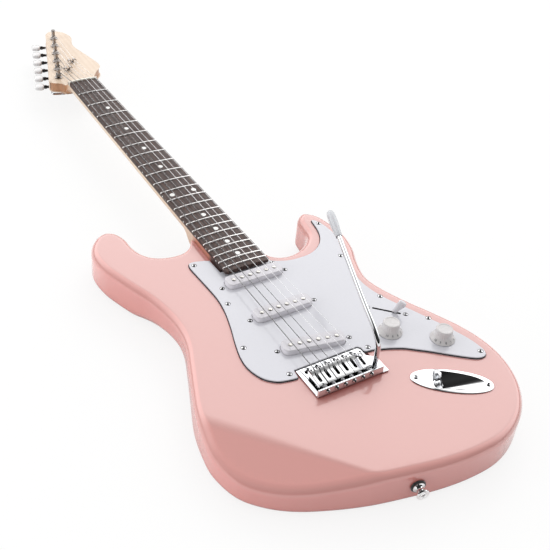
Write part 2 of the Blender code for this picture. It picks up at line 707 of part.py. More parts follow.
def jack_ring(radius, height):
    """Ring about the deepest point; radius and height are functions of the angle."""
    return [jack_point(DISH_U + radius(a) * math.cos(a), radius(a) * math.sin(a), height(a))
            for a in circle_angles(28)]


def dish_ring(fraction, rim_z):
    return jack_ring(lambda a: fraction * rim_reach(a), lambda a: rim_z - dish_drop(a, fraction))


def make_jack_plate():
    top = GAP + JACK_PLATE_THICK
    rings = [dish_ring(q, top) for q in DISH_STEPS]
    rings += [jack_ring(lambda a: edge_reach(a, -0.8), lambda a: top),
              jack_ring(edge_reach, lambda a: GAP + 0.5),
              jack_ring(edge_reach, lambda a: GAP)]
    rings += [dish_ring(q, GAP) for q in reversed(DISH_STEPS)]
    plate = skin(rings, "jack_plate", CHROME, 40)
    cut(plate, rod(JACK_SEAT - JACK_AXIS * 6, JACK_SEAT + JACK_AXIS * 7, 5.1, 12))


def make_output_jack():
    revolve(JACK_PROFILE, JACK_SEAT, JACK_AXIS, 12, "output_jack")


# ---------------------------------------------------------------- strap button on the tail
BUTTON_PROFILE = [  # radius, height from the foot
    (0, 0), (6.6, 0), (6.6, 2.0), (4.0, 2.6), (3.3, 5.8), (4.0, 8.6), (6.3, 10.2), (6.3, 12.0),
    (0, 12.0),
]


def make_end_strap_button():
    """Button standing square to the body's edge near x = 0."""
    tail = sorted(p for p in catmull(BODY_OUTLINE, 24) if p[1] < -100 and abs(p[0]) < 9)
    first, last = tail[0], tail[-1]
    along = Vector((last[0] - first[0], last[1] - first[1], 0)).normalized()
    outwards = Vector((along.y, -along.x, 0))
    middle = min(tail, key=lambda p: abs(p[0]))
    foot = Vector((*middle, -BODY_THICK / 2)) + outwards * 0.6
    revolve(BUTTON_PROFILE, foot, outwards, 14, "end_strap_button")


# ---------------------------------------------------------------- tremolo bridge
BRIDGE_X0, BRIDGE_X1, BRIDGE_Y0, BRIDGE_Y1 = -37.0, 49.0, -26.0, 15.0
BRIDGE_OUTLINE = [
    (BRIDGE_X0, BRIDGE_Y0), (BRIDGE_X1, BRIDGE_Y0), (BRIDGE_X1, -6.5), (45.5, -1.5),
    (40.4, 2.5), (40.4, PIVOT_Y), (37.9, BRIDGE_Y1), (BRIDGE_X0, BRIDGE_Y1),
]
ARM_PATH = [
    (*ARM, -19), (*ARM, 2), (*ARM, 24), (37.8, -14.7, 32), (38.2, -10.2, 39), (40.8, 1.5, 44.4),
    (49.4, 33.5, 51.6), (66.8, 92.5, 64.0), (81.5, 142.0, 74.2),
]
TIP_END, TIP_LENGTH = Vector((83.2, 148.5, 75.5)), 38
TIP_PROFILE = [  # radius, distance from the open end
    (3.2, 0), (3.9, 0), (4.9, 18), (4.7, 33), (3.6, 37), (0, TIP_LENGTH), (0, 32.3), (3.2, 32.3),
]


def make_bridge_plate():
    bridge = prism(BRIDGE_OUTLINE, PIVOT_Z, 2.0, "bridge_plate", CHROME, smooth=0)
    # upturned lip along the tail edge
    join(bridge, box(BRIDGE_X0, 41.0, BRIDGE_Y0, BRIDGE_Y0 + 2.2, PIVOT_Z + 0.4, 10.6))
    # bevel under the edge nearest the neck, leaving the knife edge
    bevel = [(PIVOT_Y, PIVOT_Z - 1), (BRIDGE_Y1 + 2, PIVOT_Z - 1), (BRIDGE_Y1 + 2, 1.5),
             (PIVOT_Y, PIVOT_Z)]
    cut(bridge, skin([[(x, y, z) for y, z in bevel] for x in (BRIDGE_X0 - 5, BRIDGE_X1 + 5)],
                     smooth=0))
    for i in range(STRINGS):
        x = saddle_x(i)
        cut(bridge, upright_rod(x, STRING_HOLE_Y, -5, 10, 2.4, 8),
            upright_rod(x, PIVOT_Y - 2.5, -5, 10, 2.0, 8))
    cut(bridge, upright_rod(*ARM, -5, 10, 3.6, 12))
    put_origin(bridge, BRIDGE_PIVOT)


def make_tremolo_block():
    block = box(**BLOCK, name="tremolo_block", material=STEEL)
    for i in range(STRINGS):
        cut(block, upright_rod(saddle_x(i), STRING_HOLE_Y, -60, 10, 1.9, 8))
    cut(block, upright_rod(*ARM, -20, 10, 3.1, 12))
    put_origin(block, BRIDGE_PIVOT)


def make_saddle(i):
    """Saddle with a slot for its string and two short legs."""
    x, top = saddle_x(i), saddle_z(i) - STRING_R[i] - GAP
    section = [(-18.5, 5.6), (2.2, 5.6), (2.6, top - 1.0), (1.2, top), (-1.2, top),
               (-3.2, top - 2.6), (-16, top - 4.2), (-18.5, top - 4.8)]  # y, z
    saddle = skin([[(side, y, z) for y, z in section] for side in (x - 5.0, x + 5.0)],
                  "saddle_%d" % (i + 1), CHROME, 0)
    cut(saddle, box(x - 1.9, x + 1.9, -14.5, -3.0, 0, 30))
    for dx in (-3.3, 3.3):
        join(saddle, upright_rod(x + dx, 0.4, 2.3, 8, 1.3, 6))
    put_origin(saddle, (x, 0, 8))


def make_tremolo_arm():
    """Arm and its plastic tip, both turning about the arm's axis."""
    arm = tube("tremolo_arm", ARM_PATH, 2.8, 10, CHROME)
    put_origin(arm, (*ARM, 0))
    direction = (Vector(ARM_PATH[-1]) - Vector(ARM_PATH[-2])).normalized()
    tip = revolve(TIP_PROFILE, TIP_END - direction * TIP_LENGTH, direction, 12, "arm_tip", WHITE)
    put_origin(tip, (*ARM, 0))


# ---------------------------------------------------------------- springs and claw, rear cavity
SPRING_XS = (-16, 0, 16)
SPRING_Z, SPRING_R, SPRING_WIRE_R = -35.2, 3.6, 0.7
SPRING_TURNS, STEPS_PER_TURN = 11, 6
COIL_START_Y, COIL_LENGTH = 81, 72.0


def make_spring_claw():
    claw = prism(corners(-27, 27, 90, 92.2), -42, -31, "spring_claw", STEEL, smooth=0)
    for x in SPRING_XS:
        join(claw, box(x - 2.5, x + 2.5, 84, 91, -38.5, -36.8))


def make_spring(number, x):
    """Coil with a straight end at the claw and another at the block."""
    end_z = SPRING_Z + 0.2
    steps = SPRING_TURNS * STEPS_PER_TURN
    path = [(x, 87.5, end_z), (x, 84, end_z)]
    for i in range(steps + 1):
        a = 2 * math.pi * i / STEPS_PER_TURN
        path.append((x + SPRING_R * math.sin(a), COIL_START_Y - COIL_LENGTH * i / steps,
                     SPRING_Z + SPRING_R * math.cos(a)))
    path += [(x, 6, end_z), (x, BLOCK["y1"] + 0.9, end_z)]
    tube("tremolo_spring_%d" % number, path, SPRING_WIRE_R, 3)


# ---------------------------------------------------------------- tuners
WORM_OFFSET, WORM_Z = 7.4, -19.0                      # worm shaft, along the row from its post
HOUSING_TOP_Z = HEAD_BACK_Z - GAP
HOUSING_DEPTH, HOUSING_WALL = 9.6, 1.2
POST_PROFILE = [  # radius, z
    (0, HOUSING_TOP_Z - 7.6), (5.2, HOUSING_TOP_Z - 7.6), (5.2, HOUSING_TOP_Z - 3.2),
    (POST_R, HOUSING_TOP_Z - 3.2), (POST_R, HEAD_FACE_Z + 6), (2.5, POST_WAIST_Z),
    (POST_R, HEAD_FACE_Z + 13), (POST_R, POST_TOP_Z), (0, POST_TOP_Z),
]
SHAFT_PROFILE = [(0, -6.0), (1.8, -6.0), (1.8, 25.0), (0, 25.0)]
BUTTON_STATIONS = [  # distance out from the post, share of the full section
    (22.6, 0.75), (23.3, 0.95), (26.6, 1.0), (31.8, 0.98), (33.6, 0.8), (34.4, 0.55),
]
BUTTON_HALF_LENGTH, BUTTON_HALF_THICK = 8.2, 3.0


def tuner_point(k, out, along, z):
    x, y = post_at(k)
    offset = OUT * out + ALONG * along
    return (x + offset.x, y + offset.y, z)


def make_tuner_housing(k):
    """Box open towards the headstock's back, with a hole for the worm shaft."""
    def outline(wall):
        return [tuner_point(k, out, along, 0)[:2] for out, along
                in corners(-8.2 + wall, 9.8 - wall, -8.0 + wall, 11.4 - wall)]

    bottom = HOUSING_TOP_Z - HOUSING_DEPTH
    housing = prism(outline(0), bottom, HOUSING_TOP_Z, "tuner_housing_%d" % (k + 1), CHROME,
                    smooth=0)
    cut(housing, prism(outline(HOUSING_WALL), bottom + HOUSING_WALL, HOUSING_TOP_Z + 5))
    cut(housing, rod(tuner_point(k, 5, WORM_OFFSET, WORM_Z),
                     tuner_point(k, 15, WORM_OFFSET, WORM_Z), 2.2, 10))


def make_tuner_post(k):
    foot = (*post_at(k), 0)
    post = revolve(POST_PROFILE, foot, (0, 0, 1), 10, "tuner_post_%d" % (k + 1))
    put_origin(post, foot)


def make_tuner_button(k):
    """Worm shaft with its button."""
    shaft_start = tuner_point(k, 0, WORM_OFFSET, WORM_Z)
    button = revolve(SHAFT_PROFILE, shaft_start, OUT, 8, "tuner_button_%d" % (k + 1))
    rings = []
    for out, share in BUTTON_STATIONS:
        rings.append([
            tuner_point(k, out,
                        WORM_OFFSET + BUTTON_HALF_LENGTH * share * signed_power(math.cos(a), 0.7),
                        WORM_Z + BUTTON_HALF_THICK * share * signed_power(math.sin(a), 0.7))
            for a in circle_angles(12)])
    join(button, skin(rings))
    put_origin(button, shaft_start)


# ---------------------------------------------------------------- strings
def make_string(i):
    """From inside the block, over the saddle and nut, to the side of its post."""
    r, x, z = STRING_R[i], saddle_x(i), saddle_z(i)
    post_x, post_y = post_at(i)
    nut = (nut_x(i), SCALE_LENGTH + 0.6, nut_z(i))
    end = (post_x + POST_R + r + GAP, post_y + 0.5, POST_WAIST_Z)
    path = [
        (x, STRING_HOLE_Y, -37), (x, STRING_HOLE_Y, 6.0), (x, STRING_HOLE_Y + 1.6, 9.0),
        (x, -1.6, z - 0.45), (x, 0.2, z),
        (x + (nut[0] - x) * 0.5, SCALE_LENGTH / 2, (z + nut[2]) / 2),
        nut, tuple(a + (b - a) * 0.12 for a, b in zip(nut, end)), end,
    ]
    tube("string_%d" % (i + 1), path, r, 5)


# ---------------------------------------------------------------- guides for the joint axes
def make_guide(name, where):
    guide = bpy.data.objects.new(name, None)
    guide.location = P(*where)
    guide.empty_display_size = 0.01
    bpy.context.scene.collection.objects.link(guide)


# ---------------------------------------------------------------- build
make_body()
make_neck()
make_fingerboard()
make_nut()
make_neck_plate()
make_back_cover()
make_pickguard()
for pickup in PICKUPS:
    make_pickup(*pickup)
for control, place in (("volume", VOLUME), ("tone", TONE)):
    make_knob(control + "_knob", place)
    make_pot(control + "_pot", place)
make_selector_switch()
make_selector_lever()
make_jack_plate()
make_output_jack()
make_end_strap_button()
make_bridge_plate()
make_tremolo_block()
for index in range(STRINGS):
    make_saddle(index)
make_tremolo_arm()
make_spring_claw()
for index, spring_x in enumerate(SPRING_XS):
    make_spring(index + 1, spring_x)
for index in range(STRINGS):
    make_tuner_housing(index)
    make_tuner_post(index)
    make_tuner_button(index)
    make_string(index)
make_guide("tremolo_axis", BRIDGE_PIVOT)
make_guide("arm_axis", (*ARM, 0))
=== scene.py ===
"""Looks of a full-size solid-body electric guitar, built round its CAD frame.

Lengths are millimetres in the player's frame: x across the strings with the bass side negative,
y from the saddle line towards the nut, z up from the flat top face of the body. place() turns
them into the scene's frame, in metres.
"""
from math import ceil, copysign, cos, dist, hypot, pi, radians, sin, sqrt, tan

import bmesh
import bpy
from mathutils import Matrix, Vector, geometry


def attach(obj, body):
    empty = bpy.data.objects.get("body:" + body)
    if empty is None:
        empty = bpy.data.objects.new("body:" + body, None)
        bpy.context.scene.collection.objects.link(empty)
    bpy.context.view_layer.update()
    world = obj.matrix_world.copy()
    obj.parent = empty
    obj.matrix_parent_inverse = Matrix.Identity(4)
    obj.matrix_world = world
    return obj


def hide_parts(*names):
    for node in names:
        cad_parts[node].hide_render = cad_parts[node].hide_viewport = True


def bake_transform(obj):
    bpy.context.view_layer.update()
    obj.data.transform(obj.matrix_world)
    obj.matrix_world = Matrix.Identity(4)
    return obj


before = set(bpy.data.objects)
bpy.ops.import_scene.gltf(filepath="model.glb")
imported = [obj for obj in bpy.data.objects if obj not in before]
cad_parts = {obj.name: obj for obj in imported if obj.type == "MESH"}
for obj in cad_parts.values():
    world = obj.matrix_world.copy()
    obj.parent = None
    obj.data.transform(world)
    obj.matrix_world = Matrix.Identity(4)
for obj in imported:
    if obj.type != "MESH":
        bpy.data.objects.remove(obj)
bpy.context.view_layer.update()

# ---------------------------------------------------------------- driving dimensions
SCALE_LENGTH = 647.7
PLATE_CENTRE_Y = 222.0  # centre of the neck plate, the scene's origin
BODY_T, COVER_T = 44.0, 2.0  # thickness of the body and of the plates on its back
Z_BACK = -BODY_T - COVER_T
GAP = 0.3  # clearance between stacked parts
EDGE_R = 9.0  # rounding of the body's rim
POCKET_END, POCKET_MOUTH, POCKET_Z = 186.2, 262.0, -16.0
HEEL_END, BOARD_END = 186.5, 174.0  # body ends of the neck and of the fingerboard
NUT_W, HEEL_W = 42.0, 56.0
BOARD_UNDER, BOARD_CROWN, BOARD_RADIUS = 6.0, 11.0, 241.0
FRETS, FRET_H, FRET_W = 22, 1.1, 2.3
NUT_T = 3.6
FACE_Z, HEAD_T = -0.5, 14.0  # top face and thickness of the headstock
HEAD_BACK = FACE_Z - HEAD_T - GAP
NUT_SPREAD, SADDLE_PITCH = 35.5, 10.5
STRING_Z_SADDLE, STRING_Z_NUT = 14.6, 12.9
STRING_R = [0.55, 0.45, 0.36, 0.28, 0.24, 0.22]
POST_START, POST_STEP = (-21.3, 690.2), (8.0, 24.8)
POST_R, POST_TOP = 3.0, 15.5
WORM_OFFSET, WORM_Z = 7.4, -19.0
GUARD_BASE, GUARD_TOP = GAP, GAP + 2.2
PIVOT_Y, PIVOT_Z = 12.5, 0.4
BRIDGE_X0, BRIDGE_X1, BRIDGE_Y1, BRIDGE_TOP = -37.0, 49.0, 15.0, 2.0
BLOCK_X0, BLOCK_X1, BLOCK_Y0, BLOCK_Y1, BLOCK_BOTTOM = -34.0, 43.5, -19.5, -3.5, -40.0
STRING_HOLE_Y = -8.0
ARM = (38.0, -15.5)  # where the arm enters the bridge
PICKUPS = (("neck", 160.9, 0.0), ("middle", 100.4, 0.0), ("bridge", 39.8, -10.4))  # y, degrees
POLE_PITCH = 10.37
COVER_HALF_L, COVER_HALF_W, COVER_TOP = 35.0, 9.0, 8.4
VOLUME, TONE = (84.6, 20.3), (129.2, -13.2)
SLOT_C, SLOT_DIR = (101.5, 49.0), (0.723, -0.691)
LEVER_Z, LEVER_LEAN = -14.0, 26.0
JACK_C, JACK_ANGLE = (98.0, -67.0), radians(-35.0)
NECK_HOLES = [(x, PLATE_CENTRE_Y + dy) for x in (-19.05, 19.05) for dy in (-25.4, 25.4)]

# Outlines of (x, y) points, counter-clockwise unless noted.
BODY_OUTLINE = [
    (0, 256), (-27, 255.5), (-32.3, 250), (-38, 243.6), (-47, 241.2), (-60, 240.6), (-73, 243.5),
    (-83, 249.5), (-90.5, 260), (-94.3, 275), (-95.2, 292), (-101, 306.7), (-113, 313),
    (-126.3, 307.2), (-137.4, 293), (-142.3, 275), (-140.7, 250.5), (-134.3, 227.3), (-126, 203),
    (-118, 180), (-112.5, 153), (-111.2, 127), (-115.5, 103), (-125.8, 76), (-137, 48),
    (-147.5, 20), (-154.6, -10), (-156.7, -36), (-149.5, -65.6), (-133.1, -87.1), (-109.4, -105),
    (-78, -119.8), (-44, -131.9), (-8, -140.7), (28, -147.8), (62, -150.8), (95, -148.8),
    (122.6, -138.8), (146, -121.5), (163.8, -97), (173.6, -68), (175, -38), (167.6, -5.3),
    (152.7, 28.6), (136.9, 60.3), (124.6, 91), (121.5, 114), (129, 140), (139.5, 164), (145, 192),
    (142, 219), (135.4, 238.6), (121.5, 249.2), (109, 240), (105, 224), (101, 208), (90, 195.5),
    (76, 187.5), (62, 184.5), (49, 187.5), (38.5, 197), (33.5, 212), (32.5, 236), (31.7, 249.5),
    (27, 255.5),
]
GUARD_BASS = [  # bass edge, from the neck to the bridge
    (-29, 209), (-36, 212), (-47, 215), (-54, 214), (-56.5, 206), (-56, 190), (-54.8, 165),
    (-54.6, 145), (-57.5, 124), (-64, 100), (-72, 76), (-77.5, 55), (-78, 38), (-72.5, 21),
    (-62, 10.5), (-50, 6.6), (-40, 5.2),
]
GUARD_CORNER = [(-38.4, 7), (-38.2, 15.8)]  # straight corner at the bridge
GUARD_TREBLE = [  # round the controls, up the treble edge, the horn and back to the neck
    (38, 15.8), (41, 13.5), (42.3, 6.8), (52, 4.8), (60, 2.2), (68, -0.6), (76, -4.2), (84, -8.4),
    (95, -16.6), (103, -22.6), (111, -29.2), (119, -36), (127, -42.6), (135, -48.8),
    (142, -53.6), (148, -55.6), (153.5, -55), (157.3, -51.8), (158.8, -46.5),
    (158.5, -40), (156.8, -30), (153.3, -18.5), (148.6, -6), (143.4, 6.5), (138.6, 17),
    (133.6, 28), (128.5, 39), (122.9, 50), (117.3, 61.5), (112.8, 73), (109.2, 85), (107.2, 98),
    (107.6, 111), (110.8, 125), (116.2, 140), (122.4, 156), (127.6, 172), (130.4, 188),
    (130.2, 202), (128.6, 213), (125.8, 222),
    (121.8, 227), (118.8, 226), (117.3, 218), (114, 203), (107, 189), (96, 178.5), (82, 172),
    (68, 170.6), (54, 171.6), (42, 175.6), (33, 181), (29, 185.6),
]
HEAD_OUTLINE = [  # clockwise from the bass side of the nut
    (-19.5, 664), (-21.2, 667.5), (-23.2, 671.2), (-27.2, 674.0), (-32.0, 676.6), (-35.6, 680.2),
    (-36.2, 684.5), (-34.4, 690.5), (-8.8, 764), (10.6, 823), (14.8, 832.5), (21.3, 838.3),
    (30.2, 837.8), (38.4, 829.8), (43.0, 818.8), (43.6, 808.5), (40.4, 798), (36.4, 786.5),
    (36.2, 774.5), (39.2, 757.5), (45, 730), (47.4, 714.5), (47.3, 704.5), (43.2, 696.5),
    (36.4, 689.5), (30.6, 682), (25.8, 674.5), (22.3, 667), (19.5, 662),
]


# ---------------------------------------------------------------- geometry tools
def place(x, y, z):
    return Vector((x, y - PLATE_CENTRE_Y, z + BODY_T + COVER_T)) * 0.001


def around(n):
    return [2 * pi * i / n for i in range(n)]


def signed_power(value, power):
    return copysign(abs(value) ** power, value)


def smoothstep(start, end, x):
    t = min(1.0, max(0.0, (x - start) / (end - start)))
    return t * t * (3 - 2 * t)


def arc(x, y, radius, start, end, n):
    """n + 1 points of an arc between two angles in degrees."""
    angles = [radians(start + (end - start) * k / n) for k in range(n + 1)]
    return [(x + radius * cos(angle), y + radius * sin(angle)) for angle in angles]


def catmull(points, steps, closed=True):
    """Catmull-Rom curve through points."""
    out, n = [], len(points)
    for i in range(n if closed else n - 1):
        near = [points[(i + k) % n] if closed else points[min(max(i + k, 0), n - 1)]
                for k in (-1, 0, 1, 2)]
        for step in range(steps):
            t = step / steps
            out.append(tuple(
                0.5 * ((2 * p1) + (-p0 + p2) * t + (2 * p0 - 5 * p1 + 4 * p2 - p3) * t * t
                       + (-p0 + 3 * p1 - 3 * p2 + p3) * t ** 3)
                for p0, p1, p2, p3 in zip(*near)))
    if not closed:
        out.append(tuple(points[-1]))
    return out


def inset(points, depth):
    """Moves a counter-clockwise outline inwards by depth, which may be a list of one per point."""
    n, out = len(points), []
    for i, (x, y) in enumerate(points):
        before, after = points[i - 1], points[(i + 1) % n]
        dx, dy = after[0] - before[0], after[1] - before[1]
        length = hypot(dx, dy) or 1.0
        move = depth[i] if isinstance(depth, list) else depth
        out.append((x - dy / length * move, y + dx / length * move))
    return out


def shrink(points, depth):
    """inset() in steps of at most 0.2; an edge that would turn over closes up instead."""
    current, n = list(points), len(points)
    steps = max(1, ceil(depth / 0.2))
    for _ in range(steps):
        current = inset(current, depth / steps)
        for _ in range(6):
            calm = True
            for i in range(n):
                j = (i + 1) % n
                one, two = current[i], current[j]
                forward = ((points[j][0] - points[i][0]) * (two[0] - one[0])
                           + (points[j][1] - points[i][1]) * (two[1] - one[1]))
                if one != two and forward <= 0:
                    current[i] = current[j] = ((one[0] + two[0]) / 2, (one[1] + two[1]) / 2)
                    calm = False
            if calm:
                break
    return current


def resample(points, step, closed=True):
    """Points at an even spacing close to step."""
    path = list(points) + ([points[0]] if closed else [])
    total = sum(dist(one, two) for one, two in zip(path, path[1:]))
    n = round(total / step)
    out, want, run = [], 0.0, 0.0
    for one, two in zip(path, path[1:]):
        length = dist(one, two)
        while want <= run + length + 1e-9 and len(out) < n + (0 if closed else 1):
            share = (want - run) / length if length else 0
            out.append(tuple(start + (end - start) * share for start, end in zip(one, two)))
            want += total / n
        run += length
    return out


def rounded(x0, x1, y0, y1, radius, n=8):
    """Rectangle with arcs for corners."""
    return (arc(x0 + radius, y0 + radius, radius, 180, 270, n)
            + arc(x1 - radius, y0 + radius, radius, 270, 360, n)
            + arc(x1 - radius, y1 - radius, radius, 0, 90, n)
            + arc(x0 + radius, y1 - radius, radius, 90, 180, n))


def round_corners(points, radius, n=5):
    """Rounds every corner of a polygon with a quadratic curve of about the given radius."""
    out = []
    for i, point in enumerate(points):
        corner = Vector(point)
        back, ahead = Vector(points[i - 1]) - corner, Vector(points[(i + 1) % len(points)]) - corner
        reach = min(radius, 0.45 * back.length, 0.45 * ahead.length)
        start = corner + back * (reach / back.length)
        end = corner + ahead * (reach / ahead.length)
        for k in range(n + 1):
            t = k / n
            out.append(tuple(start * (1 - t) ** 2 + corner * 2 * t * (1 - t) + end * t * t))
    return out


def basis(axis):
    """Columns: two directions across the axis, then the axis."""
    return Vector(axis).normalized().to_track_quat("Z", "Y").to_matrix()


def inside(point, ring):
    x, y, hit = point[0], point[1], False
    x0, y0 = ring[-1]
    for x1, y1 in ring:
        if (y0 > y) != (y1 > y) and x < (x1 - x0) * (y - y0) / (y1 - y0) + x0:
            hit = not hit
        x0, y0 = x1, y1
    return hit


def clear(point, others, gap):
    return all((point[0] - x) ** 2 + (point[1] - y) ** 2 > gap * gap for x, y in others)


def thread(start, stop, pitch, crest, root):
    """Profile of a screw thread, as (radius, height) points."""
    profile = []
    while start < stop:
        profile += [(crest, start), (root, start + pitch / 2)]
        start += pitch
    return profile


# ---------------------------------------------------------------- piece builder
MATERIALS = {}


class Piece:
    """Faces of one piece in the player's frame; index is the material slot of new faces."""

    def __init__(self, *materials):
        self.points, self.faces, self.indices = [], [], []
        self.index, self.materials = 0, materials

    def use(self, index):
        self.index = index
        return self

    def add(self, points):
        first = len(self.points)
        self.points += [tuple(point) for point in points]
        return list(range(first, len(self.points)))

    def face(self, corners, index=None):
        self.faces.append(tuple(corners))
        self.indices.append(self.index if index is None else index)

    def skin(self, rings, caps=True, loop=False, indices=None):
        """Skins equal-length rings; a ring of one point closes to a tip."""
        ids = [self.add(ring) for ring in rings]
        following = ids[1:] + (ids[:1] if loop else [])
        for k, (low, high) in enumerate(zip(ids, following)):
            n = max(len(low), len(high))
            for i in range(n):
                j = (i + 1) % n
                if len(low) == 1:
                    corners = (low[0], high[j], high[i])
                elif len(high) == 1:
                    corners = (low[i], low[j], high[0])
                else:
                    corners = (low[i], low[j], high[j], high[i])
                self.face(corners, indices[k] if indices else None)
        if caps:
            self.face(reversed(ids[0]), indices[0] if indices else None)
            self.face(ids[-1], indices[-1] if indices else None)
        return self

    def revolve(self, profile, origin, axis=(0, 0, 1), n=48, shape=None):
        """Turns (radius, height) points about axis; a profile off the axis is a closed loop."""
        turned, origin, rings = basis(axis), Vector(origin), []
        for radius, height in profile:
            ring = []
            for angle in around(n if radius else 1):
                reach = radius * (shape(angle, radius, height) if shape else 1.0)
                offset = Vector((reach * cos(angle), reach * sin(angle), height))
                ring.append(origin + turned @ offset)
            rings.append(ring)
        return self.skin(rings, caps=False, loop=profile[0][0] > 0)

    def prism(self, outline, z0, z1, top=0.0, bottom=0.0, steps=3):
        """Upright plate with rounded rims of radius top and bottom."""
        def rim(radius, z, side):
            if not radius:
                return [[(x, y, z) for x, y in outline]]
            turns = [pi / 2 * k / steps for k in range(steps + 1)]
            return [[(x, y, z - side * radius * (1 - sin(turn)))
                     for x, y in inset(outline, radius * (1 - cos(turn)))] for turn in turns]
        return self.skin(rim(bottom, z0, -1)[::-1] + rim(top, z1, 1))

    def tube(self, path, radius, n):
        points = [Vector(point) for point in path]
        rings, up = [], None
        for i, point in enumerate(points):
            ahead, behind = points[min(i + 1, len(points) - 1)], points[max(i - 1, 0)]
            tangent = (ahead - behind).normalized()
            if up is None:
                up = tangent.orthogonal().normalized()
            up = (up - tangent * up.dot(tangent)).normalized()
            side = tangent.cross(up)
            rings.append([point + (up * cos(angle) + side * sin(angle)) * radius
                          for angle in around(n)])
        return self.skin(rings)

    def rod(self, start, end, radius, n=24):
        line = Vector(end) - Vector(start)
        length = line.length
        return self.revolve([(0, 0), (radius, 0), (radius, length), (0, length)], start, line, n)

    def screw(self, at, axis=(0, 0, 1), *, radius, height, turn, sink=1.4, cone=True, pit=None):
        """Oval-head screw with a cross recess, painted with shade through material slot pit when
        given; its rim passes round at.
        """
        turned, origin, n = basis(axis), Vector(at), 28

        def put(x, y, z):
            return origin + turned @ Vector((x, y, z))

        def dome(reach):
            return height * (1 - (reach / radius) ** 2) ** 0.8

        def circle(share, z):
            return [put(share * radius * cos(angle), share * radius * sin(angle), z)
                    for angle in around(n)]

        def cross(half, arm):
            corners = [(half, half), (half, arm), (-half, arm), (-half, half), (-arm, half),
                       (-arm, -half), (-half, -half), (-half, -arm), (half, -arm), (half, -half),
                       (arm, -half), (arm, half)]
            return [(x * cos(turn) - y * sin(turn), x * sin(turn) + y * cos(turn))
                    for x, y in corners]

        first = len(self.points)
        rings = [circle(0.5 if cone else 0.97, -sink)]
        if cone:
            rings.append(circle(0.96, -0.15))
        rings += [circle(1, 0.0), circle(0.985, dome(radius * 0.96))]
        rings += [circle(share, dome(radius * share)) for share in (0.9, 0.8)]
        self.skin(rings, caps=False)
        self.face(range(first + n - 1, first - 1, -1))
        shoulder = len(self.points) - n
        rim = [(0.70 * radius * cos(angle), 0.70 * radius * sin(angle)) for angle in around(n)]
        outer = cross(0.17 * radius, 0.62 * radius)
        inner = cross(0.11 * radius, 0.50 * radius)
        edges = []
        for start, count in ((0, n), (n, 12), (n + 12, 12)):
            edges += [(start + k, start + (k + 1) % count) for k in range(count)]
        flat, _, faces, *_ = geometry.delaunay_2d_cdt(
            [Vector(point) for point in rim + outer + inner], edges, [], 1, 1e-7)
        depth = 0.75 * height + 0.35
        heights = [dome(hypot(*point)) for point in rim + outer]
        heights += [dome(hypot(*point)) - depth for point in inner]
        ids = self.add([put(*point, z) for point, z in zip(flat, heights)])
        for face in faces:
            middle = sum((flat[i] for i in face), Vector((0, 0))) / len(face)
            # Faces inside the cross recess take slot pit, which carries painted shade.
            recessed = pit is not None and inside(middle, outer)
            self.face([ids[i] for i in face], pit if recessed else None)
        for i in range(n):
            j = (i + 1) % n
            self.face((shoulder + i, shoulder + j, ids[j], ids[i]))
        return self

    def loose(self, name="cutter", weld=1e-7):
        """Makes the object, without looks or a body to ride."""
        mesh = bpy.data.meshes.new(name)
        draft = bmesh.new()
        corners = [draft.verts.new(place(*point)) for point in self.points]
        for ids, index in zip(self.faces, self.indices):
            # Guards against a face that exists already.
            try:
                draft.faces.new([corners[i] for i in ids]).material_index = index
            except ValueError:
                pass
        bmesh.ops.remove_doubles(draft, verts=draft.verts[:], dist=weld)
        bmesh.ops.recalc_face_normals(draft, faces=draft.faces[:])
        draft.to_mesh(mesh)
        draft.free()
        for material_name in self.materials:
            mesh.materials.append(MATERIALS[material_name])
        obj = bpy.data.objects.new(name, mesh)
        bpy.context.scene.collection.objects.link(obj)
        return obj

    def done(self, name, body, materials, slot, smooth=40, replaces=None):
        return dress(self.loose(name), body, materials, smooth, replaces)


def dress(obj, body, materials, smooth=40, replaces=None):
    obj.data.shade_smooth()
    obj.data.set_sharp_from_angle(angle=radians(smooth))
    used = obj.data.materials
    for i, name in enumerate([materials] if isinstance(materials, str) else materials):
        if i < len(used):
            used[i] = MATERIALS[name]
        else:
            used.append(MATERIALS[name])
    if body:
        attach(obj, body)
    if replaces:
        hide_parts(replaces)
    return obj


def boolean(target, *parts, operation="DIFFERENCE"):
    """Cuts or joins pieces, which are first joined into one tool."""
    tool = parts[0].loose()
    for part in parts[1:]:
        boolean(tool, part, operation="UNION")
    modifier = target.modifiers.new(operation, "BOOLEAN")
    modifier.operation, modifier.solver, modifier.object = operation, "EXACT", tool
    bpy.context.view_layer.update()
    evaluated = target.evaluated_get(bpy.context.evaluated_depsgraph_get())
    mesh = bpy.data.meshes.new_from_object(evaluated)
    target.modifiers.remove(modifier)
    target.data = mesh
    bpy.data.objects.remove(tool, do_unlink=True)


def add_bevel(obj, name, width, angle):
    bevel = obj.modifiers.new(name, "BEVEL")
    bevel.width, bevel.segments, bevel.limit_method = width * 0.001, 2, "ANGLE"
    bevel.angle_limit = radians(angle)
    return bevel


def weighted(obj):
    modifier = obj.modifiers.new("normals", "WEIGHTED_NORMAL")
    modifier.keep_sharp, modifier.weight = True, 80


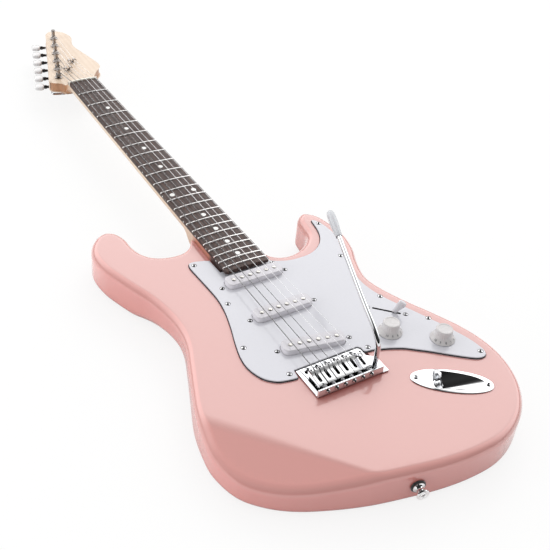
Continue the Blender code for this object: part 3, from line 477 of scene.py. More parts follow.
# ---------------------------------------------------------------- materials
class Nodes:
    """Short calls for the node tree of a material or world."""

    def __init__(self, owner):
        owner.use_nodes = True
        self.tree = owner.node_tree
        self.coord = self.tree.nodes.new("ShaderNodeTexCoord")

    def put(self, socket, value):
        if isinstance(value, bpy.types.NodeSocket):
            self.tree.links.new(value, socket)
        elif isinstance(value, tuple) and len(value) == 3 and socket.type == "RGBA":
            socket.default_value = (*value, 1)
        else:
            socket.default_value = value

    def node(self, kind, *inputs, out=0, **settings):
        """New node's output; inputs go by place (None skips one), settings by input or property."""
        node = self.tree.nodes.new(kind)
        for key, value in settings.items():
            if key in node.inputs:
                self.put(node.inputs[key], value)
            else:
                setattr(node, key, value)
        for i, value in enumerate(inputs):
            if value is not None:
                self.put(node.inputs[i], value)
        return node.outputs[out]

    def at(self, scale=(1, 1, 1), turn=(0, 0, 0), shift=(0, 0, 0)):
        """Object coordinates in metres, scaled per axis."""
        return self.node("ShaderNodeMapping", Vector=self.coord.outputs["Object"], Scale=scale,
                         Rotation=turn, Location=shift)

    def noise(self, scale, vector=None, detail=3.0, rough=0.5):
        return self.node("ShaderNodeTexNoise", Vector=vector or self.at(), Scale=scale,
                         Detail=detail, Roughness=rough)

    def span(self, value, over, to=(0.0, 1.0)):
        return self.node("ShaderNodeMapRange", value, *over, *to)

    def math(self, operation, one, two=0.0):
        return self.node("ShaderNodeMath", one, two, operation=operation)

    def mix(self, factor, one, two):
        return self.node("ShaderNodeMix", factor, *[None] * 5, one, two, out=2, data_type="RGBA")

    def tint(self, base, other, value, over, amount=(0.0, 1.0)):
        """Mixes other into base by amount as value crosses the range over."""
        return self.mix(self.span(value, over, amount), base, other)

    def ramp(self, factor, stops):
        output = self.node("ShaderNodeValToRGB", factor)
        elements = output.node.color_ramp.elements
        while len(elements) < len(stops):
            elements.new(0.5)
        for element, (position, colour) in zip(elements, stops):
            element.position, element.color = position, (*colour, 1)
        return output

    def bump(self, height, strength, distance, under=None):
        """Bump normal, laid over the normal under."""
        settings = {} if under is None else {"Normal": under}
        return self.node("ShaderNodeBump", Height=height, Strength=strength, Distance=distance,
                         **settings)

    def normal_z(self):
        normal = self.node("ShaderNodeNewGeometry", out=1)
        return self.node("ShaderNodeSeparateXYZ", normal, out=2)

    def openness(self, distance):
        """Ambient occlusion: low where surfaces close in on each other."""
        return self.node("ShaderNodeAmbientOcclusion", out=1, Distance=distance)

    def surface(self, **inputs):
        bsdf = self.tree.nodes["Principled BSDF"]
        for key, value in inputs.items():
            self.put(bsdf.inputs[key.replace("_", " ")], value)


def material(name):
    MATERIALS[name] = bpy.data.materials.new(name)
    return Nodes(MATERIALS[name])


def scaled(colour, factor):
    return tuple(factor * value for value in colour)


def lacquer():
    mat = material("pink_lacquer")
    colour = mat.tint((0.572, 0.298, 0.275), (0.583, 0.305, 0.281),
                      mat.noise(scale=5.0, detail=2), over=(0.3, 0.7))
    colour = mat.tint(colour, (0.635, 0.33, 0.305), mat.noise(scale=160.0, detail=1),
                      over=(0.35, 0.65), amount=(0.0, 0.05))
    normal_z = mat.normal_z()

    def level(over, to=(0.0, 1.0)):
        return mat.span(mat.math("ABSOLUTE", normal_z), over, to)

    # Painted shade and painted pink bounce: upright side walls take a deeper, more saturated red
    # than the top.
    colour = mat.mix(level(over=(0.10, 0.75), to=(1.0, 0.0)), colour, (0.640, 0.252, 0.228))
    # Painted light: gentle slopes such as the forearm contour are lighter and warmer than the flat
    # top.
    slope = mat.math("MULTIPLY", level(over=(0.55, 0.80)), level(over=(0.95, 0.985), to=(1.0, 0.0)))
    colour = mat.mix(slope, colour, (0.660, 0.318, 0.292))
    # Painted shade: where surfaces close in, as under the bridge, the lacquer goes a deep,
    # saturated red.
    colour = mat.tint(colour, (0.56, 0.155, 0.135), mat.openness(distance=0.022),
                      over=(0.40, 0.92), amount=(0.85, 0.0))
    haze = mat.noise(scale=24.0, detail=1)
    peel = mat.noise(scale=420.0, detail=2)
    swirl = mat.noise(scale=900.0, vector=mat.at((1, 0.12, 1), turn=(0, 0, 0.6)), detail=2)
    normal = mat.bump(peel, strength=0.02, distance=0.00001)
    normal = mat.bump(swirl, strength=0.01, distance=0.00001, under=normal)
    mat.surface(Base_Color=colour, Roughness=mat.span(haze, (0.0, 1.0), to=(0.25, 0.28)),
                Coat_Weight=1.0, Coat_Roughness=0.04, Coat_IOR=1.62, Normal=normal,
                Coat_Normal=normal)


def maple():
    """Satin maple, grain along y; the side faces change tint along the neck, with painted shade and
    a painted red reflection where the neck meets the body.
    """
    pale, dark, edge = (0.67, 0.53, 0.41), (0.57, 0.42, 0.295), (0.44, 0.21, 0.10)
    mat = material("maple")
    warp = mat.noise(scale=6.0, vector=mat.at((1, 0.25, 1)), detail=2)
    sway = mat.node("ShaderNodeCombineXYZ", X=warp, Y=0.0, Z=warp)
    bent = mat.node("ShaderNodeVectorMath", mat.at((1, 0.035, 0.7)),
                    mat.node("ShaderNodeVectorMath", sway, operation="SCALE", Scale=0.02),
                    operation="ADD")
    rings = mat.node("ShaderNodeTexWave", Vector=bent, Scale=46.0, Distortion=5.0, Detail=3.0)
    fibre = mat.noise(scale=1500.0, vector=mat.at((1, 0.018, 1)), detail=4, rough=0.6)
    fleck = mat.noise(scale=700.0, vector=mat.at((1, 0.06, 1), shift=(3, 1, 2)), detail=2)
    cloud = mat.noise(scale=9.0, vector=mat.at((1, 0.4, 1)), detail=3)
    flame = mat.noise(scale=60.0, vector=mat.at((0.25, 1.6, 0.3)), detail=2)
    wood = mat.tint(pale, dark, rings, over=(0.1, 0.9), amount=(0.0, 0.42))
    wood = mat.tint(wood, scaled(dark, 0.86), fibre, over=(0.45, 0.72), amount=(0.0, 0.30))
    wood = mat.tint(wood, (0.56, 0.38, 0.23), fleck, over=(0.60, 0.74), amount=(0.0, 0.35))
    wood = mat.tint(wood, (0.83, 0.70, 0.56), cloud, over=(0.35, 0.7), amount=(0.0, 0.25))
    wood = mat.tint(wood, (0.86, 0.74, 0.60), flame, over=(0.5, 0.75), amount=(0.0, 0.14))
    upward = mat.span(mat.normal_z(), over=(0.35, 0.93))
    amber = mat.tint(edge, scaled(edge, 0.78), rings, over=(0.1, 0.9), amount=(0.0, 0.5))
    amber = mat.tint(amber, scaled(edge, 0.6), fibre, over=(0.45, 0.7), amount=(0.0, 0.3))
    y = mat.node("ShaderNodeSeparateXYZ", mat.at(), out=1)
    # Side faces: amber on the headstock, a painted red reflection of the body with painted shade by
    # the pocket's mouth, and painted shade, near black, inside the pocket.
    for over, tint in (((0.426, 0.438), amber), ((0.036, 0.026), (0.50, 0.20, 0.13)),
                       ((-0.006, -0.013), (0.035, 0.018, 0.015))):
        sideways = mat.math("SUBTRACT", 1.0, upward)
        wood = mat.mix(mat.math("MULTIPLY", sideways, mat.span(y, over)), wood, tint)
    normal = mat.bump(fibre, strength=0.12, distance=0.00006)
    normal = mat.bump(mat.noise(scale=250.0, detail=2), strength=0.05, distance=0.00005,
                      under=normal)
    rough = mat.span(mat.noise(scale=60.0, detail=4), over=(0.3, 0.7), to=(0.30, 0.42))
    mat.surface(Base_Color=wood, Roughness=rough, Coat_Weight=0.35, Coat_Roughness=0.28,
                Normal=normal)


def rosewood():
    mat = material("rosewood")
    warp = mat.noise(scale=14.0, vector=mat.at((1, 0.12, 1)), detail=3)
    band = mat.node("ShaderNodeTexWave", Vector=mat.at((1, 0.05, 1)), Scale=70.0, Distortion=9.0,
                    Detail=4.0)
    streak = mat.noise(scale=900.0, vector=mat.at((1, 0.02, 1)), detail=5, rough=0.65)
    pore = mat.noise(scale=2600.0, vector=mat.at((1, 0.05, 1), shift=(1, 5, 2)), detail=2)
    grain = mat.math("ADD", mat.math("MULTIPLY", band, 0.5), mat.math("MULTIPLY", warp, 0.5))
    wood = mat.ramp(grain, [(0.2, (0.030, 0.016, 0.014)), (0.5, (0.062, 0.032, 0.026)),
                            (0.85, (0.105, 0.052, 0.038))])
    wood = mat.tint(wood, (0.022, 0.012, 0.011), streak, over=(0.4, 0.7), amount=(0.0, 0.6))
    pits = mat.span(pore, over=(0.60, 0.72))
    wood = mat.mix(mat.math("MULTIPLY", pits, 0.75), wood, (0.010, 0.006, 0.006))
    normal = mat.bump(mat.math("SUBTRACT", 1.0, pits), strength=0.35, distance=0.00012)
    normal = mat.bump(streak, strength=0.12, distance=0.00008, under=normal)
    rough = mat.span(mat.noise(scale=120.0, detail=4), over=(0.3, 0.7), to=(0.42, 0.60))
    mat.surface(Base_Color=wood, Roughness=rough, Normal=normal, Specular_IOR_Level=0.5)


def metal(name, base=(0.86, 0.87, 0.89), rough=(0.035, 0.10), bump=0.02, brush=(1, 1, 1),
          dull=None, crevice_shade=0.0):
    """Smudged metal: brush scales the brushing per axis, dull is a patchy second colour, and the
    last argument sets how much shade is painted into crevices.
    """
    mat = material(name)
    smudge = mat.noise(scale=60.0, detail=5, rough=0.6)
    brushing = mat.noise(scale=1400.0, vector=mat.at(brush), detail=3)
    colour = mat.tint(base, scaled(base, 0.93), mat.noise(scale=18.0, detail=4),
                      over=(0.35, 0.7), amount=(0.0, 0.5))
    if dull:
        colour = mat.tint(colour, dull, mat.noise(scale=240.0, detail=4),
                          over=(0.52, 0.68), amount=(0.0, 0.6))
    if crevice_shade:
        # Painted shade: the colour goes near black where surfaces close in on each other.
        colour = mat.tint(colour, (0.010, 0.009, 0.010), mat.openness(distance=0.009),
                          over=(0.30, 0.80), amount=(crevice_shade, 0.0))
    normal = mat.bump(brushing, strength=bump, distance=0.00003)
    normal = mat.bump(mat.noise(scale=45.0, detail=1), strength=0.03, distance=0.00015,
                      under=normal)
    mat.surface(Base_Color=colour, Metallic=1.0,
                Roughness=mat.span(smudge, over=(0.3, 0.72), to=rough), Normal=normal)


def plastic(name, base, other, rough, coat=0.35, soft=0.0, bump=0.05, speck=None, lift=0.0):
    """Plastic: soft is the subsurface share, speck a fleck colour, lift the share of painted light
    on upright faces.
    """
    mat = material(name)
    colour = mat.tint(base, other, mat.noise(scale=14.0, detail=3), over=(0.3, 0.7))
    colour = mat.tint(colour, scaled(base, 0.94), mat.noise(scale=330.0, detail=3),
                      over=(0.5, 0.75), amount=(0.0, 0.35))
    if speck:
        colour = mat.tint(colour, speck, mat.noise(scale=900.0, detail=2),
                          over=(0.70, 0.76), amount=(0.0, 0.5))
    if lift:
        # Painted light: upright faces are lifted towards a brighter colour.
        bright = tuple(min(0.92, value * (1 + lift)) for value in base)
        colour = mat.tint(colour, bright, mat.math("ABSOLUTE", mat.normal_z()),
                          over=(0.15, 0.75), amount=(1.0, 0.0))
    normal = mat.bump(mat.noise(scale=520.0, detail=2), strength=bump, distance=0.00003)
    normal = mat.bump(mat.noise(scale=22.0, detail=1), strength=0.06, distance=0.0003,
                      under=normal)
    roughness = mat.span(mat.noise(scale=70.0, detail=5), over=(0.3, 0.7), to=rough)
    mat.surface(Base_Color=colour, Roughness=roughness, Coat_Weight=coat, Coat_Roughness=0.08,
                Normal=normal)
    if soft:
        mat.surface(Subsurface_Weight=soft, Subsurface_Radius=(0.004, 0.003, 0.003),
                    Subsurface_Scale=0.5)


def felt():
    mat = material("black_felt")
    fibre = mat.noise(scale=1800.0, detail=6, rough=0.75)
    tuft = mat.node("ShaderNodeTexVoronoi", Vector=mat.at(), Scale=1400.0)
    colour = mat.tint((0.008, 0.008, 0.009), (0.035, 0.034, 0.036), fibre, over=(0.35, 0.7))
    normal = mat.bump(mat.math("ADD", fibre, tuft), strength=0.8, distance=0.0004)
    mat.surface(Base_Color=colour, Roughness=0.95, Sheen_Weight=0.5, Sheen_Roughness=0.5,
                Normal=normal)


def wound_string():
    """The winding is a fine ripple along the string, its dark bands painted shade between the
    turns.
    """
    mat = material("wound_string")
    wave = mat.node("ShaderNodeTexWave", bands_direction="Y", Vector=mat.at(), Scale=620.0)
    colour = mat.tint((0.26, 0.26, 0.265), (0.70, 0.70, 0.705), wave, over=(0.1, 0.9))
    rough = mat.span(mat.noise(scale=90.0, detail=4), over=(0.3, 0.7), to=(0.20, 0.34))
    mat.surface(Base_Color=colour, Metallic=1.0, Roughness=rough,
                Normal=mat.bump(wave, strength=0.7, distance=0.0003))


lacquer()
maple()
rosewood()
# Chrome and mirror carry painted shade, near black, in their crevices.
metal("chrome", crevice_shade=0.9)
metal("chrome_rod", (0.80, 0.81, 0.83), rough=(0.05, 0.12))
metal("mirror", (0.90, 0.90, 0.91), rough=(0.015, 0.05), bump=0.008, crevice_shade=0.9)
metal("chrome_soft", (0.84, 0.85, 0.87), rough=(0.07, 0.16), bump=0.03)
metal("fret_steel", (0.98, 0.96, 0.95), rough=(0.20, 0.32), bump=0.10, brush=(0.03, 1, 1))
metal("steel", (0.56, 0.56, 0.58), rough=(0.24, 0.40), bump=0.20, brush=(1, 0.05, 1),
      dull=(0.42, 0.42, 0.43))
metal("cast_block", (0.50, 0.50, 0.52), rough=(0.38, 0.55), bump=0.35, dull=(0.36, 0.36, 0.37))
metal("post_metal", (0.37, 0.335, 0.315), rough=(0.20, 0.34), bump=0.03)
plastic("button_metal", (0.62, 0.615, 0.62), (0.66, 0.655, 0.66), rough=(0.12, 0.22), coat=0.8,
        bump=0.02)
metal("plain_string", (0.78, 0.78, 0.79), rough=(0.14, 0.24), bump=0.05, brush=(1, 0.02, 1))
metal("pole_steel", (0.66, 0.64, 0.61), rough=(0.22, 0.38), bump=0.25, brush=(1, 0.2, 1),
      dull=(0.5, 0.48, 0.46))
metal("brass", (0.72, 0.55, 0.30), rough=(0.22, 0.38), bump=0.15, brush=(1, 1, 0.1))
wound_string()
plastic("white_top", (0.545, 0.545, 0.585), (0.558, 0.557, 0.598), rough=(0.14, 0.22), coat=0.6)
# Covers and knobs below carry painted light on their upright faces.
plastic("white_cover", (0.555, 0.538, 0.572), (0.570, 0.553, 0.586), rough=(0.19, 0.28),
        coat=0.4, lift=0.42)
plastic("knob_white", (0.565, 0.545, 0.545), (0.58, 0.56, 0.558), rough=(0.22, 0.32), soft=0.05,
        lift=0.22)
plastic("lever_white", (0.66, 0.64, 0.67), (0.69, 0.67, 0.70), rough=(0.2, 0.3), coat=0.4,
        soft=0.3)
plastic("tip_plastic", (0.53, 0.54, 0.565), (0.56, 0.565, 0.59), rough=(0.16, 0.26), coat=0.4,
        soft=0.15)
plastic("nut_plastic", (0.80, 0.765, 0.68), (0.84, 0.80, 0.72), rough=(0.30, 0.42), coat=0.1,
        soft=0.08, bump=0.12, speck=(0.68, 0.62, 0.5))
plastic("dot_pearl", (0.80, 0.80, 0.78), (0.88, 0.88, 0.86), rough=(0.2, 0.3), coat=0.3)
plastic("button_pearl", (0.70, 0.70, 0.69), (0.82, 0.82, 0.81), rough=(0.08, 0.16), coat=0.7,
        soft=0.05)
plastic("black_plastic", (0.014, 0.014, 0.015), (0.020, 0.020, 0.021), rough=(0.28, 0.42),
        coat=0.1)
plastic("black_ply_and_shade", (0.018, 0.017, 0.018), (0.026, 0.025, 0.026), rough=(0.35, 0.5), coat=0.0)
plastic("digit_paint", (0.06, 0.065, 0.075), (0.09, 0.095, 0.10), rough=(0.4, 0.55), coat=0.0)
plastic("bobbin_black", (0.012, 0.012, 0.012), (0.02, 0.02, 0.02), rough=(0.45, 0.6), coat=0.0,
        bump=0.2)
felt()

# ---------------------------------------------------------------- body
# The forearm contour falls away on the side DOWN of the crease line through CREASE_C.
CREASE_C, CREASE, DOWN, FALL = (-92.0, -64.0), (0.640, -0.769), (-0.769, -0.640), tan(radians(16))
RIM_STEPS = 8


def fill(piece, ring, height, spacing, lines=()):
    """Fills an outline with triangles at height(x, y), with edges along the given lines."""
    points = [Vector(point) for point in ring]
    edges = [(i, (i + 1) % len(ring)) for i in range(len(ring))]
    for line in lines:
        previous = None
        for point in line:
            if inside(point, ring):
                points.append(Vector(point))
                if previous is not None:
                    edges.append((previous, len(points) - 1))
                previous = len(points) - 1
            else:
                previous = None
    left, right = min(x for x, _ in ring), max(x for x, _ in ring)
    y, top = min(y for _, y in ring), max(y for _, y in ring)
    row = 0
    while y < top:
        x = left + (spacing / 2 if row % 2 else 0)
        while x < right:
            if (inside((x, y), ring) and clear((x, y), ring, spacing * 0.55)
                    and all(clear((x, y), line, spacing * 0.5) for line in lines)):
                points.append(Vector((x, y)))
            x += spacing
        y += spacing * 0.87
        row += 1
    flat, _, faces, *_ = geometry.delaunay_2d_cdt(points, edges, [], 1, 1e-6)
    ids = piece.add([(x, y, height(x, y)) for x, y in flat])
    for face in faces:
        piece.face([ids[i] for i in face])


def top_z(x, y):
    """Top face: flat, then a slope past the crease, blended over a width that varies along it."""
    dx, dy = x - CREASE_C[0], y - CREASE_C[1]
    past = dx * DOWN[0] + dy * DOWN[1]
    blend = 7.0 - 4.0 * smoothstep(-60, 60, dx * CREASE[0] + dy * CREASE[1])
    if past <= -blend:
        return 0.0
    return -FALL * past if past >= blend else -FALL * (past + blend) ** 2 / (4 * blend)


def bottom_z(x, y):
    """Back face, hollowed at the bass-side waist by an ellipsoid."""
    under_root = 1 - ((x + 165) / 100) ** 2 - ((y - 118) / 125) ** 2
    rise = -32 + (55 * sqrt(under_root) if under_root > 0 else 0)
    return -BODY_T + 0.5 * (rise + hypot(rise, 2.0)) if rise > -24 else -BODY_T


body_curve = catmull(BODY_OUTLINE, 24)
body_line = resample(body_curve, 1.7)
# The rim is tighter where the neck meets the body.
radii = [EDGE_R - 6.8 * smoothstep(47, 36, abs(x)) * smoothstep(192, 204, y) for x, y in body_line]
for _ in range(6):
    radii = [(radii[i - 1] + radii[i] + radii[(i + 1) % len(radii)]) / 3
             for i in range(len(radii))]


def rim_ring(step, face_z, side):
    """Ring of a rounded rim, from the side wall at step 0 to the face at RIM_STEPS."""
    turn = pi / 2 * step / RIM_STEPS
    moved = inset(body_line, [radius * (1 - cos(turn)) for radius in radii])
    return [(x, y, face_z(x, y) - side * radius * (1 - sin(turn)))
            for (x, y), radius in zip(moved, radii)]


lower = [rim_ring(k, bottom_z, -1) for k in range(RIM_STEPS, -1, -1)]
upper = [rim_ring(k, top_z, 1) for k in range(RIM_STEPS + 1)]
wall = [[(low[0], low[1], low[2] + (high[2] - low[2]) * t)
         for low, high in zip(lower[-1], upper[0])] for t in (0.25, 0.5, 0.75)]
piece = Piece().skin(lower + wall + upper, caps=False)
crease_lines = [[(CREASE_C[0] + CREASE[0] * along + DOWN[0] * past,
                  CREASE_C[1] + CREASE[1] * along + DOWN[1] * past)
                 for along in range(-120, 121, 2)] for past in (-7, -5, -3, -1.5, 0, 1.5, 3, 5, 7)]
fill(piece, [point[:2] for point in upper[-1]], top_z, 9.0, lines=crease_lines)
fill(piece, [point[:2] for point in lower[0]], bottom_z, 6.0)
body = piece.loose("body_shell", weld=2e-6)


def width_at(y):
    return NUT_W + (HEEL_W - NUT_W) * (SCALE_LENGTH - y) / (SCALE_LENGTH - HEEL_END)


def jack_point(along, across, *z):
    turn_cos, turn_sin = cos(JACK_ANGLE), sin(JACK_ANGLE)
    return (JACK_C[0] + along * turn_cos - across * turn_sin,
            JACK_C[1] + along * turn_sin + across * turn_cos, *z)


def neck_holes(z0, z1):
    piece = Piece()
    for x, y in NECK_HOLES:
        piece.rod((x, y, z0), (x, y, z1), 2.6, 16)
    return piece


end_half, mouth_half = width_at(POCKET_END) / 2 + 0.3, width_at(POCKET_MOUTH) / 2 + 0.3
neck_pocket = [(-end_half, POCKET_END), (end_half, POCKET_END),
               (mouth_half, POCKET_MOUTH + 8), (-mouth_half, POCKET_MOUTH + 8)]
control_cavity = [(38, 66), (41, 10), (62, 6), (92, -9), (124, -32), (143, -38), (147, -28),
                  (140.5, 2), (119, 49), (101, 70)]
jack_oval = [jack_point(35.0 * signed_power(cos(angle), 2 / 3.0),
                        13.9 * signed_power(sin(angle), 2 / 3.0)) for angle in around(48)]
boolean(body,
        Piece().prism(neck_pocket, POCKET_Z, 20),
        Piece().prism(rounded(-41.5, 41.5, 24, 171, 6), -17, 21),  # under the pickups
        Piece().prism(round_corners(control_cavity, 6), -33, 22),
        Piece().prism(rounded(-35.6, 45.4, -24.6, 7.5, 1.5), -50, 23),  # round the block
        Piece().prism(rounded(-35.5, 45.3, -32, 102, 3), -60, -27),  # springs, from the back
        Piece().prism(jack_oval, -34, 24),
        Piece().rod((104, -50, -25), (118, -24, -25), 5, 16),  # from jack to controls
        neck_holes(-50, -10))
weighted(dress(body, "root", "pink_lacquer", 34, "body"))


# ---------------------------------------------------------------- neck and headstock
def neck_ring(y):
    heel = smoothstep(284, POCKET_MOUTH, y)
    head = smoothstep(648, 668, y)
    half = width_at(y) / 2 if y < SCALE_LENGTH else NUT_W / 2 + 0.3 * head
    top = BOARD_UNDER - 0.02
    step_y = SCALE_LENGTH + NUT_T + 1
    top += (FACE_Z - top) * smoothstep(step_y, step_y + 12, y) - 0.35 * smoothstep(664, 668, y)
    back = -10.2 - 1.4 * (SCALE_LENGTH - y) / 400 if y > 300 else -11.4
    back += ((POCKET_Z + 0.3 - back) * heel + (FACE_Z - HEAD_T - back) * head
             + 0.2 * smoothstep(668, 672, y))
    power = 1.0 - 0.78 * max(heel, head)
    ring = []
    for i in range(41):
        angle = pi * i / 40
        ring.append((half * signed_power(cos(angle), power), y,
                     top - 3 - (top - 3 - back) * abs(sin(angle)) ** power))
    return ring + [(-half, y, top), (half, y, top)]


def post_at(k):
    return (POST_START[0] + POST_STEP[0] * k, POST_START[1] + POST_STEP[1] * k)


stations = [HEEL_END, HEEL_END + 3] + [200 + 10 * i for i in range(6)]
stations += [256 + 2 * i for i in range(16)] + [290 + 10 * i for i in range(35)]
stations += [640 + 1.0 * i for i in range(37)]
neck = Piece().skin([neck_ring(y) for y in stations]).loose("neck_wood")
head_line = resample(catmull(HEAD_OUTLINE, 16, closed=False), 1.3, closed=False)
boolean(neck, Piece().prism(head_line, FACE_Z - HEAD_T, FACE_Z, top=1.6, bottom=2.2, steps=5),
        operation="UNION")
holes = Piece()
for k in range(6):
    holes.rod((*post_at(k), -40), (*post_at(k), 20), 4.3, 40)
for x, y in NECK_HOLES:
    holes.rod((x, y, -30), (x, y, -1), 2.6, 16)
boolean(neck, holes)
weighted(dress(neck, "root", "maple", 32, "neck"))

# ---------------------------------------------------------------- fingerboard, frets, dots, nut
CORNER_R = 0.45  # rounding of the fingerboard's long edges
END_R = 3.2  # rounding of its body end, seen from above


def board_z(x):
    return BOARD_CROWN - x * x / (2 * BOARD_RADIUS)


def board_ring(y, lower=0.0, narrow=0.0):
    half = width_at(y) / 2 - lower - narrow
    flat = half - CORNER_R
    crown = [flat * (1 - i / 12) for i in range(25)]
    corner = [(flat + CORNER_R * sin(turn), board_z(half) - CORNER_R * (1 - cos(turn)) - lower)
              for turn in (pi / 2 * k / 3 for k in (1, 2, 3))]
    return ([(x, y, board_z(x) - lower) for x in crown] + [(-x, y, z) for x, z in corner]
            + [(-half, y, BOARD_UNDER), (half, y, BOARD_UNDER)]
            + [(x, y, z) for x, z in reversed(corner)])


def end_narrowing(depth):
    return END_R - sqrt(END_R ** 2 - (END_R - depth) ** 2)


rings = [board_ring(BOARD_END, 0.4, end_narrowing(0.05))]
for depth in (0.15, 0.4, 0.7, 1.1, 1.6, 2.3, END_R):
    rings.append(board_ring(BOARD_END + depth, 0.4 * max(0, 1 - depth / 0.4),
                            end_narrowing(depth)))
rings += [board_ring(BOARD_END + 6 + (SCALE_LENGTH - 0.1 - BOARD_END - 6) * i / 60)
          for i in range(61)]
weighted(Piece().skin(rings).done("fingerboard_wood", "root", "rosewood", "rosewood",
                                  replaces="fingerboard"))
# Beyond the nut: (y past the nut, greatest z).
STRIP_STEPS = ((0.1, 10.9), (1.6, 10.6), (2.6, 9.6), (3.3, 7.6), (3.5, 6.02))
strip = [(x, z) for x, _, z in board_ring(SCALE_LENGTH + 1)]
Piece().skin([[(x, SCALE_LENGTH + NUT_T + dy, min(z, cap)) for x, z in strip]
              for dy, cap in STRIP_STEPS]).done("board_end_strip", "root", "rosewood",
                                                "rosewood", 50)


def fret_y(n):
    return SCALE_LENGTH / 2 ** (n / 12)


piece = Piece()
half = FRET_W / 2
profile = [(-half, -0.35), (-half, 0.02)]
profile += [(-half * cos(pi * k / 8), 0.02 + (FRET_H - 0.02) * sin(pi * k / 8) ** 0.85)
            for k in range(1, 8)] + [(half, 0.02), (half, -0.35)]
for n in range(1, FRETS + 1):
    reach = width_at(fret_y(n)) / 2
    piece.skin([[(share * (reach + 0.02 - 0.62 * max(0, dz)), fret_y(n) + dy,
                  board_z(share * reach) + dz) for dy, dz in profile]
                for share in (-1 + 2 * i / 26 for i in range(27))])
piece.done("frets", "root", "fret_steel", "steel")

piece = Piece()
for n in (3, 5, 7, 9, 12, 15, 17, 19, 21):
    y = (fret_y(n) + fret_y(n - 1)) / 2
    for x in ((-14.5, 14.5) if n == 12 else (0.0,)):
        piece.revolve([(0, -0.5), (3.15, -0.5), (3.15, 0.02), (3.05, 0.06), (2.2, 0.075),
                       (0, 0.08)], (x, y, board_z(x)), (x / BOARD_RADIUS, 0, 1), 40)
    for dy in ((-4.5, 4.5) if n == 12 else (0.0,)):
        piece.revolve([(0, -0.4), (1.0, -0.4), (1.0, 0.02), (0.9, 0.06), (0, 0.07)],
                      (-width_at(y) / 2, y + dy, 8.3), (-1, 0, 0), 24)
piece.done("position_dots", "root", "dot_pearl", "nut_plastic", 30)


def nut_x(i):
    return -NUT_SPREAD / 2 + NUT_SPREAD * i / 5


def saddle_x(i):
    return (i - 2.5) * SADDLE_PITCH


def nut_z(i):
    return STRING_Z_NUT - nut_x(i) ** 2 / (2 * BOARD_RADIUS)


def saddle_z(i):
    return STRING_Z_SADDLE - saddle_x(i) ** 2 / 600


def nut_top(x):
    return 13.25 - x * x / (2 * BOARD_RADIUS) - 0.15


half = NUT_W / 2
profile = [(-half, BOARD_UNDER + 0.02), (half, BOARD_UNDER + 0.02), (half, 12.0),
           (half - 0.5, 12.5)]
for i in range(5, -1, -1):
    radius, x, z = STRING_R[i] + 0.06, nut_x(i), nut_z(i)
    lip = radius + 0.35
    profile += [(x + lip, nut_top(x + lip)), (x + radius, z + 0.15)]
    profile += arc(x, z, radius, 0, -180, 8)
    profile += [(x - radius, z + 0.15), (x - lip, nut_top(x - lip))]
profile += [(-half + 0.5, 12.5), (-half, 12.0)]
# (y past the nut's front face, drop of the top).
NUT_STEPS = ((0, 0.12), (0.35, 0.0), (2.0, 0.1), (NUT_T - 0.5, 0.45), (NUT_T, 0.95))
Piece().skin([[(x, SCALE_LENGTH + dy, z - (drop if z > 10.5 else 0)) for x, z in profile]
              for dy, drop in NUT_STEPS]).done("nut_block", "root", "nut_plastic", "nut_plastic",
                                               replaces="nut")

# ---------------------------------------------------------------- pickguard
GUARD_MATERIALS = ("white_cover", "black_ply_and_shade", "white_top")
# (inset, z) up the bevelled edge, and the ply of each band between them.
GUARD_LEVELS = ((0.0, GUARD_BASE), (0.0, 0.62), (0.02, 0.66), (0.75, 1.75), (0.80, 1.85),
                (1.05, 2.30), (1.4, GUARD_TOP))
GUARD_PLIES = (0, 1, 1, 2, 2, 2)
guard_line = []
for point in (catmull(GUARD_BASS, 10, closed=False) + GUARD_CORNER
              + catmull(GUARD_TREBLE, 9, closed=False) + [(-29, 185.6)]):
    if not guard_line or dist(point, guard_line[-1]) > 0.9:
        guard_line.append(point)
guard = Piece(*GUARD_MATERIALS).skin(
    [[(x, y, z) for x, y in shrink(guard_line, depth)] for depth, z in GUARD_LEVELS],
    indices=GUARD_PLIES).loose("pickguard_sheet")


def pickup_outline(centre_y, degrees, grow=0.0, corner=6.5):
    turn_cos, turn_sin = cos(radians(degrees)), sin(radians(degrees))
    half_l, half_w = COVER_HALF_L + grow, COVER_HALF_W + grow
    return [(x * turn_cos - y * turn_sin, centre_y + x * turn_sin + y * turn_cos)
            for x, y in rounded(-half_l, half_l, -half_w, half_w, corner)]


def pole_at(i, centre_y, degrees):
    along = (i - 2.5) * POLE_PITCH
    return (along * cos(radians(degrees)), centre_y + along * sin(radians(degrees)))


# The opening walls take the black ply, which also stands as painted shade in the gaps round covers,
# knobs and switch.
openings = Piece(*GUARD_MATERIALS).use(1)
for _, centre_y, degrees in PICKUPS:
    openings.prism(pickup_outline(centre_y, degrees, 0.35), -5, 10)
for x, y in (VOLUME, TONE):
    openings.rod((x, y, -5), (x, y, 10), 5.0, 32)
dir_x, dir_y = SLOT_DIR
slot_ring = arc(14.6, 0, 1.3, -90, 90, 8) + arc(-14.6, 0, 1.3, 90, 270, 8)
openings.prism([(SLOT_C[0] + along * dir_x - across * dir_y,
                 SLOT_C[1] + along * dir_y + across * dir_x) for along, across in slot_ring],
               -5, 10)
boolean(guard, openings)
weighted(dress(guard, "root", GUARD_MATERIALS, 20, "pickguard"))


def guard_screws(name, *groups):
    """Screws with painted shade in their cross recesses, in dark countersinks; a group is (places,
    radius, height, first turn, turn step).
    """
    piece = Piece()
    for places, radius, height, turn, turn_step in groups:
        for i, (x, y) in enumerate(places):
            piece.use(0).screw((x, y, GUARD_TOP + 0.02), radius=radius, height=height,
                               turn=turn + turn_step * i, pit=1)
            hole = radius + 0.05
            piece.use(1).revolve([(hole - 0.25, -0.2), (hole + 0.42, -0.2), (hole + 0.42, 0.035),
                                  (hole - 0.05, 0.05), (hole - 0.25, 0.02)],
                                 (x, y, GUARD_TOP), n=36)
    piece.done(name, "root", ("mirror", "black_ply_and_shade"), "chrome")


